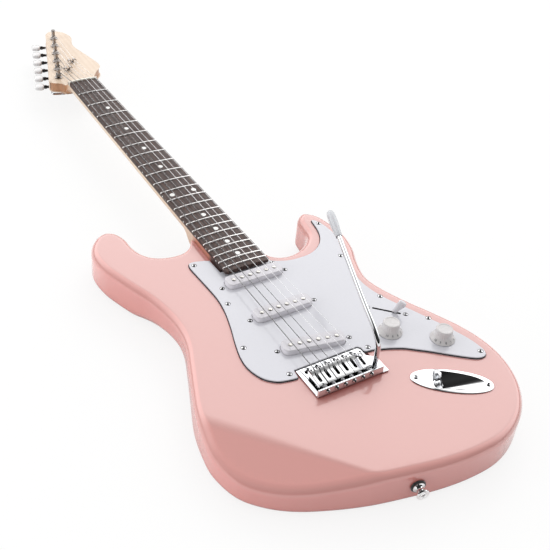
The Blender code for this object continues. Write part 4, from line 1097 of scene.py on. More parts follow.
guard_screws("pickguard_screws", (
    [(-50, 208), (-48, 134), (-67, 67), (-45, 14), (49, 11), (153, -47), (136, 19), (110, 72),
     (112, 152), (124, 217), (33, 175)], 2.55, 1.15, 0.4, 1.7))
guard_screws("pickup_and_switch_screws", (
    [(-41, 159), (39, 158), (-40, 100), (40, 99), (-39, 47), (40, 32)], 2.4, 1.35, 0.2, 1.3), (
    [(117, 35), (86, 63)], 2.5, 1.25, 0.9, 1.3))

# ---------------------------------------------------------------- pickups
POLE_TOPS = [8.95, 9.15, 9.4, 9.35, 8.85, 9.05]
for name, *pose in PICKUPS:
    shell = Piece().prism(pickup_outline(*pose), -6, COVER_TOP, top=1.5, steps=5)
    shell = shell.loose("cover_" + name)
    holes = Piece()
    for i in range(6):
        holes.rod((*pole_at(i, *pose), 0), (*pole_at(i, *pose), 20), 2.62, 32)
    boolean(shell, Piece().prism(pickup_outline(*pose, -1.6, 5), -9, COVER_TOP - 1.6), holes)
    weighted(dress(shell, "root", "white_cover", 40, "pickup_cover_" + name))
    piece = Piece()
    for i, z in enumerate(POLE_TOPS):
        piece.revolve([(0, -11), (2.38, -11), (2.38, z - 0.7), (2.3, z - 0.42), (2.05, z - 0.14),
                       (1.75, z - 0.02), (0, z)], (*pole_at(i, *pose), 0), n=32)
    piece.use(1).prism(pickup_outline(*pose, -3, 5), -12, COVER_TOP - 2.2, top=0.4)
    piece.done("poles_and_bobbin_" + name, "root", ("pole_steel", "bobbin_black"), "pole_steel",
               replaces="pickup_coil_" + name)

# ---------------------------------------------------------------- controls
SKIRT_FOOT, SKIRT_TOP = (13.15, 1.25), (10.15, 4.55)  # (radius, height) of the numbered cone
KNOB = [(0, 0.3), (13.0, 0.3), (13.4, 0.42), (13.5, 0.7), (13.4, 1.0), SKIRT_FOOT, (12.15, 2.35),
        (11.15, 3.45), SKIRT_TOP, (9.75, 5.1), (9.55, 5.6), (9.48, 6.1), (9.44, 6.6),
        (9.36, 8.2), (9.26, 10.0), (9.18, 11.6), (9.12, 12.3), (8.95, 12.9), (8.6, 13.3),
        (8.1, 13.55), (7.5, 13.6), (7.1, 13.5), (6.8, 13.3), (5.8, 13.22), (0, 13.15)]


def flute(angle, _, height):
    """24 flutes round the grip of a knob."""
    if height < 5.6 or height > 12.8:
        return 1.0
    fade = smoothstep(5.6, 6.3, height) * smoothstep(12.8, 12.2, height)
    return 1.0 - 0.034 * fade * (0.5 + 0.5 * cos(24 * angle)) ** 1.5


def digits(piece, at, first_angle):
    """Raised numerals 1 to 10 round the skirt of a knob."""
    rise_r, rise_h = SKIRT_TOP[0] - SKIRT_FOOT[0], SKIRT_TOP[1] - SKIRT_FOOT[1]
    slant = hypot(rise_r, rise_h)
    rise_r, rise_h = rise_r / slant, rise_h / slant
    for k in range(10):
        font = bpy.data.curves.new("digit", "FONT")
        font.body, font.size, font.align_x, font.align_y = str(k + 1), 3.3, "CENTER", "CENTER"
        font.resolution_u, font.extrude, font.offset = 3, 0.06, 0.035
        text = bpy.data.objects.new("digit", font)
        bpy.context.scene.collection.objects.link(text)
        bpy.context.view_layer.update()
        mesh = bpy.data.meshes.new_from_object(
            text.evaluated_get(bpy.context.evaluated_depsgraph_get()))
        points = []
        for vertex in mesh.vertices:
            x, y, z = vertex.co
            up = slant / 2 + y
            radius = SKIRT_FOOT[0] + rise_r * up + rise_h * z
            height = SKIRT_FOOT[1] + rise_h * up - rise_r * z
            angle = first_angle - radians(30) * k + x / (SKIRT_FOOT[0] + rise_r * slant / 2)
            points.append((at[0] + radius * cos(angle), at[1] + radius * sin(angle),
                           GUARD_TOP + height))
        ids = piece.add(points)
        for polygon in mesh.polygons:
            piece.face([ids[i] for i in polygon.vertices])
        bpy.data.objects.remove(text, do_unlink=True)


for name, at, first_angle in (("volume", VOLUME, 2.2), ("tone", TONE, 1.7)):
    piece = Piece().revolve(KNOB, (*at, GUARD_TOP), n=240, shape=flute)
    piece.use(1).rod((*at, GUARD_TOP - 11.5), (*at, GUARD_TOP + 1.0), 2.9)
    digits(piece.use(2), at, first_angle)
    piece.done(name + "_knob_body", name + "_control", ("knob_white", "brass", "digit_paint"),
               "white_plastic", 38, name + "_knob")

pin = Vector((*SLOT_C, LEVER_Z))
lean = radians(LEVER_LEAN)
lever_dir = Vector((dir_x * sin(lean), dir_y * sin(lean), cos(lean))).normalized()
pin_axis = Vector((-dir_y, dir_x, 0)).normalized()
lever_side = pin_axis.cross(lever_dir)
BLADE = [(-1.9, -0.55), (-1.65, -0.8), (1.65, -0.8), (1.9, -0.55), (1.9, 0.55), (1.65, 0.8),
         (-1.65, 0.8), (-1.9, 0.55)]
# Selector tip: (distance from the pin, half width, half thickness).
LEVER_TIP = ((19.5, 2.3, 1.35), (19.6, 2.65, 1.65), (20.3, 2.8, 1.8), (23, 3.0, 2.0),
             (26, 3.35, 2.35), (29, 3.85, 2.75), (32, 4.4, 3.1), (34, 4.65, 3.25),
             (35.2, 4.55, 3.15), (36.1, 4.1, 2.75), (36.6, 3.2, 2.0), (36.8, 1.8, 1.0))


def lever_ring(distance, section):
    return [pin + lever_dir * distance + lever_side * u + pin_axis * v for u, v in section]


piece = Piece().use(1).revolve([(0, -2.1), (2.4, -2.1), (2.4, 2.1), (0, 2.1)], pin, pin_axis, 24)
piece.skin([lever_ring(distance, BLADE) for distance in (0, 22)]).use(0)
piece.skin([lever_ring(distance, [(wide * signed_power(cos(angle), 0.85),
                                   thick * signed_power(sin(angle), 0.85))
                                  for angle in around(40)])
            for distance, wide, thick in LEVER_TIP])
piece.done("selector_blade_and_tip", "selector", ("lever_white", "steel"), "white_plastic", 38,
           "selector_lever")
for node, name in (("volume_pot", "steel"), ("tone_pot", "steel"),
                   ("selector_switch", "black_plastic")):
    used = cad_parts[node].data.materials
    used.clear()
    used.append(MATERIALS[name])

# ---------------------------------------------------------------- output jack in its dished plate
DEEP = -11.0  # deepest point of the dish, along the plate from its centre
DISH_DEPTH = 14.5
JACK_TOP, JACK_UNDER = GAP + 1.15, GAP - 0.25
ANGLES = around(160)


def edge_at(angle, contains, far):
    """Distance from the deepest point to the edge of a shape, by bisection."""
    near = 0.0
    for _ in range(36):
        middle = (near + far) / 2
        if contains(DEEP + middle * cos(angle), middle * sin(angle)):
            near = middle
        else:
            far = middle
    return middle


def in_dish(u, v):
    return (max(0.0, (u + 16) / 50) ** 2.4 + max(0.0, (-16 - u) / 3.8) ** 2.4
            + (abs(v) / 12.8) ** 2.4 < 1)


def in_plate(u, v):
    return (abs(u) / 42.7) ** 2.1 + (abs(v) / 16.3) ** 2.1 < 1


DISH = [edge_at(angle, in_dish, 60) for angle in ANGLES]
EDGE = [edge_at(angle, in_plate, 90) for angle in ANGLES]


def jack_ring(radii, heights):
    return [jack_point(DEEP + radius * cos(angle), radius * sin(angle), z)
            for angle, radius, z in zip(ANGLES, radii, heights)]


def dish_ring(share, top, grow=0.0):
    """Ring of the dish at a share of its radius, in a surface whose rim is at top."""
    powers = [1.15 + 1.7 * (0.5 - 0.5 * cos(angle)) ** 0.6 for angle in ANGLES]
    return jack_ring([share * radius + grow for radius in DISH],
                     [top - DISH_DEPTH * (1 - share ** power) for power in powers])


SHARES = [0.02, 0.06] + [0.12 + 0.04 * k for k in range(18)]
SHARES += [0.86, 0.90, 0.93, 0.955, 0.975, 0.99, 1.0]
rings = [[jack_point(DEEP, 0.0, JACK_TOP - DISH_DEPTH)]]
for share in SHARES:
    # A small roll-over where the dish meets the flat of the plate.
    rings.append(dish_ring(share, JACK_TOP - 0.05 * max(0.0, 1 - (1 - share) / 0.05) ** 2))
for share in (0.03, 0.08, 0.2, 0.4, 0.6, 0.8):
    rings.append(jack_ring([dish + (edge - 1.0 - dish) * share for dish, edge in zip(DISH, EDGE)],
                           [JACK_TOP - 0.3 * share * share] * 160))
for k in range(7):
    turn = pi / 2 * k / 6
    z = JACK_TOP - 0.3 - (JACK_TOP - 0.3 - GAP - 0.05) * (1 - cos(turn))
    rings.append(jack_ring([edge - 1.0 + sin(turn) for edge in EDGE], [z] * 160))
rings.append(jack_ring([edge - 0.2 for edge in EDGE], [JACK_UNDER] * 160))
rings += [dish_ring(share, JACK_UNDER, 0.0 if share < 1 else 0.3) for share in reversed(SHARES)]
rings.append([jack_point(DEEP, 0.0, JACK_UNDER - DISH_DEPTH)])
piece = Piece("mirror", "chrome_soft").skin(rings, caps=False)
for k, ids in enumerate(piece.faces):
    # The deep end of the dish is duller.
    middle = sum((Vector(piece.points[i]) for i in ids), Vector()) / len(ids)
    along = ((middle.x - JACK_C[0]) * cos(JACK_ANGLE) + (middle.y - JACK_C[1]) * sin(JACK_ANGLE))
    if along < -12.5 and middle.z < JACK_TOP - 0.4:
        piece.indices[k] = 1
plate = piece.loose("jack_plate_shell")
tilt = radians(32)
jack_axis = Vector((cos(JACK_ANGLE) * cos(tilt), sin(JACK_ANGLE) * cos(tilt), sin(tilt)))
jack_at = Vector(jack_point(-15.5, 0, -8.2))
boolean(plate, Piece().rod(jack_at - jack_axis * 6, jack_at + jack_axis * 7, 5.1, 40))
dress(plate, "root", ("mirror", "chrome_soft"), 38, "jack_plate")

bushing = [(3.2, -12), (6.0, -12), (6.0, -5.0), (4.7, -5.0)]
bushing += thread(-4.6, 6.8, pitch=0.44, crest=4.70, root=4.46)
bushing += [(4.6, 6.9), (4.3, 7.2), (3.5, 7.2), (3.2, 6.9)]
ring_nut = [(4.75, 0.6), (6.3, 0.6), (6.4, 0.8), (6.4, 2.3), (6.1, 2.6), (4.75, 2.6)]
piece = Piece().revolve(bushing, jack_at, jack_axis).revolve(ring_nut, jack_at, jack_axis)
piece.use(1).revolve([(0, -11.5), (3.15, -11.5), (3.15, -9.5), (0, -9.5)], jack_at, jack_axis, 32)
piece.done("jack_bushing", "root", ("chrome_soft", "black_plastic"), "chrome",
           replaces="output_jack")
# Jack plate screws, with painted shade in their cross recesses.
piece = Piece()
for i, (x, y) in enumerate([(68, -46), (128, -88)]):
    piece.screw((x, y, JACK_TOP - 0.15), radius=3.0, height=1.25, turn=0.5 + i, pit=1)
piece.done("jack_plate_screws", "root", ("chrome", "black_ply_and_shade"), "chrome")

# ---------------------------------------------------------------- strap buttons
BUTTON = [(0, 2.2), (5.6, 2.2), (6.1, 2.4), (6.05, 2.8), (5.0, 3.3), (4.0, 3.9), (3.5, 4.8),
          (3.35, 6.0), (3.5, 7.3), (4.2, 8.5), (5.3, 9.5), (6.05, 10.2), (6.35, 10.8),
          (6.2, 11.4), (5.7, 11.85), (4.9, 12.0), (3.9, 11.6), (3.3, 11.1), (0, 11.1)]
WASHER = [(0, 0), (7.0, 0), (7.45, 0.4), (7.6, 1.1), (7.4, 1.8), (6.9, 2.25), (0, 2.25)]


def fuzz(angle, _, height):
    return 1 + 0.012 * sin(17 * angle + 3 * height) + 0.008 * sin(41 * angle + 7 * height)


def strap_button(name, at, out, replaces):
    piece = Piece().revolve(BUTTON, at, out, 64)
    piece.screw(at + out.normalized() * 11.15, out, radius=3.2, height=0.9, turn=0.6)
    piece.done(name + "_button_metal", "root", "mirror", "chrome", replaces=replaces)
    Piece().revolve(WASHER, at, out, 96, shape=fuzz).done(
        name + "_felt_washer", "root", "black_felt", "black_felt", 50)


tail = sorted(point for point in body_curve if point[1] < -100 and abs(point[0]) < 9)
tail_dir = Vector((tail[-1][0] - tail[0][0], tail[-1][1] - tail[0][1], 0)).normalized()
tail_out = Vector((tail_dir.y, -tail_dir.x, 0))
foot = Vector((*min(tail, key=lambda point: abs(point[0])), -BODY_T / 2)) + tail_out * 0.2
horn = max((point for point in body_curve if point[0] < -90), key=lambda point: point[1])
strap_button("end_strap", foot, tail_out, "end_strap_button")
strap_button("horn_strap", Vector((*horn, -BODY_T / 2)) - Vector((0, 0.2, 0)),
             Vector((-0.1, 1, 0)), None)

# ---------------------------------------------------------------- tremolo bridge
BRIDGE_OUTLINE = [(BRIDGE_X0, -22.4), (41, -22.4), (41, -26), (BRIDGE_X1, -26),
                  (BRIDGE_X1, -6.5), (45.5, -1.5), (40.4, 2.5), (40.4, 12.5),
                  (37.9, BRIDGE_Y1), (BRIDGE_X0, BRIDGE_Y1)]
SCREW_Z = 7.0  # height of the intonation screws
PIVOT_SCREW_Y = PIVOT_Y - 2.5
bridge = Piece().prism(round_corners(BRIDGE_OUTLINE, 1.1, 4), PIVOT_Z, BRIDGE_TOP, top=0.32,
                       bottom=0.15).loose("tremolo_plate")
# Section (y, z) of the upturned wall at the tail edge.
section = [(-21.5, PIVOT_Z)] + arc(-23.4, PIVOT_Z + 2.6, 2.6, 270, 180, 7)
section += arc(-25.45, 10.05, 0.55, 180, 90, 4) + arc(-24.35, 10.05, 0.55, 90, 0, 4)
section += arc(-22.8, 3.0, 1.0, 180, 270, 5) + [(-21.5, BRIDGE_TOP)]
boolean(bridge, Piece().skin([[(x, y, z) for y, z in section] for x in (BRIDGE_X0, 41.0)]),
        operation="UNION")
# The underside rises in front of the pivot.
wedge = ((PIVOT_Y, PIVOT_Z - 1), (BRIDGE_Y1 + 2, PIVOT_Z - 1), (BRIDGE_Y1 + 2, 1.5),
         (PIVOT_Y, PIVOT_Z))
holes = Piece().skin([[(x, y, z) for y, z in wedge] for x in (BRIDGE_X0 - 5, BRIDGE_X1 + 5)])
for i in range(6):
    x = saddle_x(i)
    holes.rod((x, STRING_HOLE_Y, -5), (x, STRING_HOLE_Y, 10), 2.4)
    holes.rod((x, PIVOT_SCREW_Y, -5), (x, PIVOT_SCREW_Y, 10), 2.1)
    holes.rod((x, -30, SCREW_Z), (x, -20, SCREW_Z), 1.75, 20)
boolean(bridge, holes.rod((*ARM, -5), (*ARM, 10), 3.6, 40))
add_bevel(bridge, "bevel", 0.14, 40).harden_normals = True
dress(bridge, "bridge", "chrome", 28, "bridge_plate")

block_outline = [(BLOCK_X0, BLOCK_Y0), (BLOCK_X1, BLOCK_Y0), (BLOCK_X1, BLOCK_Y1),
                 (BLOCK_X0, BLOCK_Y1)]
block = Piece().prism(round_corners(block_outline, 1.4, 4), BLOCK_BOTTOM, PIVOT_Z - 0.05,
                      bottom=0.8, top=0.1).loose("tremolo_block_cast")
holes = Piece()
for i in range(6):
    holes.revolve([(0, 0), (1.9, 0), (1.9, 35), (3.6, 36.2), (3.6, 80), (0, 80)],
                  (saddle_x(i), STRING_HOLE_Y, 8), (0, 0, -1), 24)
boolean(block, holes.rod((*ARM, -20), (*ARM, 10), 3.1, 32))
dress(block, "bridge", "cast_block", 32, "tremolo_block")

piece = Piece()
for i in range(6):
    at = (saddle_x(i), PIVOT_SCREW_Y)
    piece.screw((*at, 3.55), radius=3.1, height=1.5, turn=0.3 + 1.1 * i, sink=0.5, cone=False)
    piece.rod((*at, -14), (*at, 2.8), 1.55, 16)
piece.done("pivot_screws", "root", "chrome", "chrome")

# Intonation screws, with painted shade in their cross recesses.
piece = Piece()
profile = [(0, 0), (1.45, 0)] + thread(0.3, 15.0, pitch=0.4, crest=1.45, root=1.25)
profile += [(1.0, 15.6), (0, 15.8)]
for i in range(6):
    x = saddle_x(i)
    piece.screw((x, -26.35, SCREW_Z), (0, -1, 0), radius=2.45, height=1.9, turn=0.2 + 0.9 * i,
                sink=0.45, cone=False, pit=1)
    piece.revolve(profile, (x, -26.0, SCREW_Z), (0, 1, 0), 16)
piece.done("intonation_screws", "bridge", ("mirror", "black_ply_and_shade"), "chrome")


def saddle(i):
    """String saddle with its height screws and intonation spring."""
    x, crest = saddle_x(i), saddle_z(i) - STRING_R[i] - 0.05
    number, rider = "_%d" % (i + 1), "string_saddle_%d" % (i + 1)
    side = [(-18.5, 5.6), (2.2, 5.6), (2.75, 6.2)]
    side += [(y, crest - drop) for y, drop in (
        (2.9, 2.4), (2.5, 0.9), (1.7, 0.2), (0.6, 0), (-0.8, 0.05), (-2.0, 0.7), (-3.4, 2.0),
        (-5.2, 2.9), (-16, 4.2), (-17.6, 4.5), (-18.5, 5.2))]
    block = Piece().skin([[(x + dx, y, z) for y, z in side] for dx in (-5.0, 5.0)])
    block = block.loose("saddle_block" + number)
    # The boolean bakes in this bevel, and the modifier stays on top of that.
    add_bevel(block, "round", 0.28, 50)
    slot = arc(x, -4.9, 1.75, 0, 180, 10) + arc(x, -12.8, 1.75, 180, 360, 10)
    holes = Piece().prism(slot, 0, 30)
    for dx in (-3.2, 3.2):
        holes.rod((x + dx, 0.55, crest - 3.2), (x + dx, 0.55, 30), 1.25, 20)
    boolean(block, holes, Piece().rod((x, -22, SCREW_Z), (x, -12.5, SCREW_Z), 1.65, 20))
    weighted(dress(block, rider, "mirror", 34, "saddle" + number))
    piece = Piece()
    for dx in (-3.2, 3.2):
        piece.revolve([(0, 2.05), (0.9, 2.05), (1.2, 2.5), (1.2, crest - 1.2),
                       (1.05, crest - 0.95), (0.62, crest - 0.95), (0.55, crest - 2.4),
                       (0, crest - 2.5)], (x + dx, 0.55, 0), n=12)
    piece.done("saddle_height_screws" + number, rider, "steel", "steel")
    path = []
    for k in range(65):
        angle = 2 * pi * k / 16
        path.append((x + 2.15 * cos(angle), -23.45 + 4.6 * k / 64, SCREW_Z + 2.15 * sin(angle)))
    spring = Piece().tube(path, 0.38, 8).done("intonation_spring" + number, None, "steel",
                                              "steel", 60)
    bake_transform(spring)


for i in range(6):
    saddle(i)

ARM_PATH = [(*ARM, -19), (*ARM, 2), (*ARM, 24), (37.8, -14.7, 32), (38.2, -10.2, 39),
            (40.8, 1.5, 44.4), (49.4, 33.5, 51.6), (66.8, 92.5, 64.0), (81.5, 142.0, 74.2)]
Piece().tube(resample(catmull(ARM_PATH, 14, closed=False), 1.5, closed=False), 2.8, 32).done(
    "tremolo_arm_rod", "arm", "chrome_rod", "chrome", 60, "tremolo_arm")
ARM_TIP = [(0, 32.5), (2.95, 32.5), (2.95, 0.4), (3.05, 0.05), (3.3, 0.0), (3.6, 0.3),
           (3.75, 1.0), (4.05, 6.0), (4.45, 12.0), (4.75, 18.0), (4.9, 24.0), (4.88, 29.0),
           (4.65, 32.5), (4.2, 35.0), (3.5, 36.6), (2.5, 37.55), (1.3, 37.95), (0, 38.0)]
tip_dir = (Vector(ARM_PATH[-1]) - Vector(ARM_PATH[-2])).normalized()
tip_start = Vector((83.2, 148.5, 75.5)) - tip_dir * 38
Piece().revolve(ARM_TIP, tip_start, tip_dir, 64).done(
    "arm_tip_cap", "arm", "tip_plastic", "white_plastic", replaces="arm_tip")

# ---------------------------------------------------------------- springs and claw
SPRING_X = (-16, 0, 16)
SPRING_Z, SPRING_R, WIRE_R, TURNS, TURN_STEPS = -35.2, 3.6, 0.7, 26, 14
piece = Piece().prism(rounded(-27, 27, -42, -31, 1.2, 4), 90, 92.2, top=0.3, bottom=0.3)
piece.points = [(x, z, y) for x, y, z in piece.points]  # stands the plate upright
for x in SPRING_X:
    piece.prism(rounded(x - 2.5, x + 2.5, 84, 91, 1.0, 4), -38.5, -36.8, top=0.3, bottom=0.3)
piece.done("spring_claw_plate", "root", "steel", "steel", 35, "spring_claw")
piece = Piece()
for x in (-21, 21):
    piece.screw((x, 89.9, -36.5), (0, -1, 0), radius=3.4, height=1.4, turn=0.5)
    piece.rod((x, 90, -36.5), (x, 108, -36.5), 1.9, 16)
piece.done("claw_screws", "root", "steel", "steel")
for k, x in enumerate(SPRING_X):
    path = [(x, 88.6, SPRING_Z - 1.5), (x, 87.9, SPRING_Z - 0.2), (x, 86.4, SPRING_Z + 0.4),
            (x, 84, SPRING_Z + 0.6)]
    steps = TURNS * TURN_STEPS
    for i in range(steps + 1):
        angle = 2 * pi * i / TURN_STEPS
        radius = SPRING_R * min(1.0, i / TURN_STEPS, (steps - i) / TURN_STEPS)
        path.append((x + radius * sin(angle), 81 - 72.0 * i / steps,
                     SPRING_Z + radius * cos(angle)))
    path += [(x, 6, SPRING_Z + 0.2), (x, BLOCK_Y1 + 0.9, SPRING_Z + 0.2)]
    spring = Piece().tube(path, WIRE_R, 8).done(
        "tremolo_spring_coil_%d" % (k + 1), None, "steel", "steel", 60,
        "tremolo_spring_%d" % (k + 1))
    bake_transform(spring)

# ---------------------------------------------------------------- back: neck plate, rear cover
Piece().prism(rounded(-25.5, 25.5, PLATE_CENTRE_Y - 32, PLATE_CENTRE_Y + 32, 3.5), Z_BACK,
              -BODY_T, bottom=0.7, steps=4).done("neck_plate_metal", "root", "chrome", "chrome",
                                                 replaces="neck_plate")
piece = Piece()
for i, (x, y) in enumerate(NECK_HOLES):
    piece.screw((x, y, Z_BACK + 0.02), (0, 0, -1), radius=4.3, height=0.32, turn=0.4 + i,
                sink=1.6)
    piece.rod((x, y, Z_BACK + 1.5), (x, y, -3), 2.1, 20)
piece.done("neck_screws", "root", "chrome_soft", "chrome")
cover = Piece().prism(rounded(-46, 50, -44, 112, 6), Z_BACK, -BODY_T, bottom=0.5)
cover = cover.loose("rear_cover_sheet")
holes = Piece()
for i in range(6):
    x = saddle_x(i)
    holes.prism(rounded(x - 3, x + 3, STRING_HOLE_Y - 9, STRING_HOLE_Y + 5, 2.9, 6), -60, 0)
boolean(cover, holes)
weighted(dress(cover, "root", "white_cover", 35, "back_cover"))
piece = Piece()
for i, (x, y) in enumerate([(x, y) for y in (-39, 34, 107) for x in (-41, 45)]):
    piece.screw((x, y, Z_BACK + 0.02), (0, 0, -1), radius=2.9, height=0.3, turn=0.4 + i)
piece.done("rear_cover_screws", "root", "chrome_soft", "chrome")

# ---------------------------------------------------------------- tuners
ALONG = Vector((*POST_STEP, 0)).normalized()  # along the row of posts
OUT = Vector((-ALONG.y, ALONG.x, 0))  # towards the tuner buttons
# Tuner button: (distance from the post, width factor, thickness factor).
TUNER_BUTTON = ((21.6, 0.34, 0.72), (21.8, 0.46, 0.84), (22.4, 0.66, 0.92), (23.2, 0.84, 0.98),
                (24.2, 0.93, 1.02), (25.4, 0.98, 1.04), (26.8, 1.0, 1.04), (28.6, 1.0, 1.0),
                (30.6, 0.99, 0.96), (32.4, 0.95, 0.90), (33.5, 0.87, 0.78), (34.1, 0.74, 0.62),
                (34.4, 0.54, 0.40))
POST = [(0, HEAD_BACK - 7.6), (5.2, HEAD_BACK - 7.6), (5.2, HEAD_BACK - 3.2),
        (POST_R, HEAD_BACK - 3.2), (POST_R, FACE_Z + 4.2), (2.9, FACE_Z + 5.2),
        (2.62, FACE_Z + 7.0), (2.5, FACE_Z + 9.0), (2.6, FACE_Z + 10.2), (2.9, FACE_Z + 11.4),
        (POST_R, FACE_Z + 12.0), (POST_R, POST_TOP - 2.1), (2.8, POST_TOP - 1.7),
        (2.4, POST_TOP - 1.5), (1.3, POST_TOP - 1.5), (1.1, POST_TOP - 1.8), (0, POST_TOP - 1.9)]


def head_point(k, out, along, *z):
    """Point beside post k."""
    x, y = post_at(k)
    offset = OUT * out + ALONG * along
    return (x + offset.x, y + offset.y, *z)


def tuner(k):
    number = "_%d" % (k + 1)

    def outline(*size):
        return [head_point(k, *point) for point in rounded(*size, n=6)]

    case = Piece().prism(outline(-8.2, 9.8, -6.9, 11.4, 3.0), HEAD_BACK - 9.1, HEAD_BACK + 0.28,
                         bottom=2.4, steps=5).loose("tuner_case" + number)
    boolean(case, Piece().prism(outline(-7.0, 8.6, -5.9, 10.2, 1.5), HEAD_BACK - 8.1,
                                HEAD_BACK + 5),
            Piece().rod(head_point(k, 5, WORM_OFFSET, WORM_Z),
                        head_point(k, 15, WORM_OFFSET, WORM_Z), 2.2))
    dress(case, "root", "chrome_soft", 32, "tuner_housing" + number)
    post = Piece().revolve(POST, (*post_at(k), 0)).loose("tuner_post_metal" + number)
    slot = ((-5, -0.6), (5, -0.6), (5, 0.6), (-5, 0.6))
    boolean(post, Piece().skin([[head_point(k, *point, z) for point in slot]
                                for z in (FACE_Z + 10.4, FACE_Z + 22)]))
    dress(post, "peg_post" + number, "post_metal", 35, "tuner_post" + number)
    worm = head_point(k, 0, WORM_OFFSET, WORM_Z)
    piece = Piece().revolve([(0, -6.0), (1.6, -6.0), (1.8, -5.7), (1.8, 24.5), (0, 24.5)],
                            worm, OUT, 24)
    piece.revolve([(1.75, 12.2), (2.3, 12.2), (2.5, 12.5), (2.5, 13.4), (2.2, 13.8),
                   (1.75, 13.8)], worm, OUT, 32)
    piece.use(1).skin([[head_point(
        k, out, WORM_OFFSET + 8.2 * wide * signed_power(cos(angle), 0.75),
        WORM_Z + 3.0 * thick * signed_power(sin(angle), 0.75)) for angle in around(48)]
        for out, wide, thick in TUNER_BUTTON])
    piece.use(2).revolve([(1.8, 14.2), (1.95, 14.2), (2.0, 17.2), (2.5, 17.8), (2.8, 18.5),
                          (2.8, 20.8), (2.5, 21.4), (1.8, 21.4)], worm, OUT, 32)
    piece.done("tuner_button_cap" + number, "peg_button" + number,
               ("chrome", "button_metal", "black_plastic"), "chrome",
               replaces="tuner_button" + number)


for k in range(6):
    tuner(k)

profile = [(3.25, -9.0), (4.25, -9.0)]
profile += [(radius, FACE_Z + rise) for radius, rise in (
    (4.25, 0.02), (5.5, 0.02), (5.65, 0.3), (5.6, 0.9), (5.1, 1.35), (4.2, 1.55), (3.7, 2.3),
    (3.4, 2.4), (3.25, 2.2))]
piece = Piece()
for k in range(6):
    piece.revolve(profile, (*post_at(k), 0))
piece.done("post_bushings", "root", "post_metal", "chrome")
piece = Piece()
for k in range(6):
    piece.screw(head_point(k, -5.4, -11.2, HEAD_BACK + 0.3), (0, 0, -1), radius=2.0, height=1.0,
                turn=0.3 + k, sink=0.5, cone=False)
    tab = arc(-5.4, -11.2, 3.1, 180, 360, 10) + [(-2.3, -6.2), (-8.2, -6.2)]
    piece.prism([head_point(k, *point) for point in tab], HEAD_BACK - 0.7, HEAD_BACK + 0.25,
                bottom=0.2)
piece.done("tuner_tabs_and_screws", "root", "chrome_soft", "chrome")

# ---------------------------------------------------------------- string trees
TREES = [(14.3, 727.5, 3.35), (0.0, 706.0, 3.3)]  # x, y, distance of each wing's crest from x
TREE_Z = FACE_Z + 3.4
piece = Piece()
for x, y, half in TREES:
    wing = [(1.2, -2.5), (1.9, -1.3), (half - 1.4, 1.2), (half, 1.75), (half + 1.5, 1.5),
            (half + 2.6, 0.6), (half + 2.9, -0.9)]
    middle = [(-across, z) for across, z in reversed(wing)] + [(0, -2.75)] + wing
    middle = catmull(middle, 4, closed=False)
    rows = []
    for i, (across, z) in enumerate(middle):
        before, after = middle[max(i - 1, 0)], middle[min(i + 1, len(middle) - 1)]
        dx, dz = after[0] - before[0], after[1] - before[1]
        length = hypot(dx, dz)
        normal_x, normal_z = -dz / length * 0.42, dx / length * 0.42
        wide = 2.4 - 0.5 * min(1.0, abs(across) / (half + 2.9)) ** 2
        rows.append([(x + across + side * normal_x, y + along,
                      TREE_Z + z + 0.45 + side * normal_z)
                     for along, side in ((-wide, -1), (wide, -1), (wide + 0.1, 0), (wide, 1),
                                         (-wide, 1), (-wide - 0.1, 0))])
    piece.skin(rows)
    piece.screw((x, y, TREE_Z - 1.5), radius=2.2, height=1.0, turn=0.5, sink=0.6, cone=False)
    piece.rod((x, y, FACE_Z - 8), (x, y, TREE_Z - 1.8), 1.2, 12)
piece.done("string_trees", "root", "post_metal", "chrome", 50)

# ---------------------------------------------------------------- strings
POST_WAIST = 2.72  # radius of the post under the turns


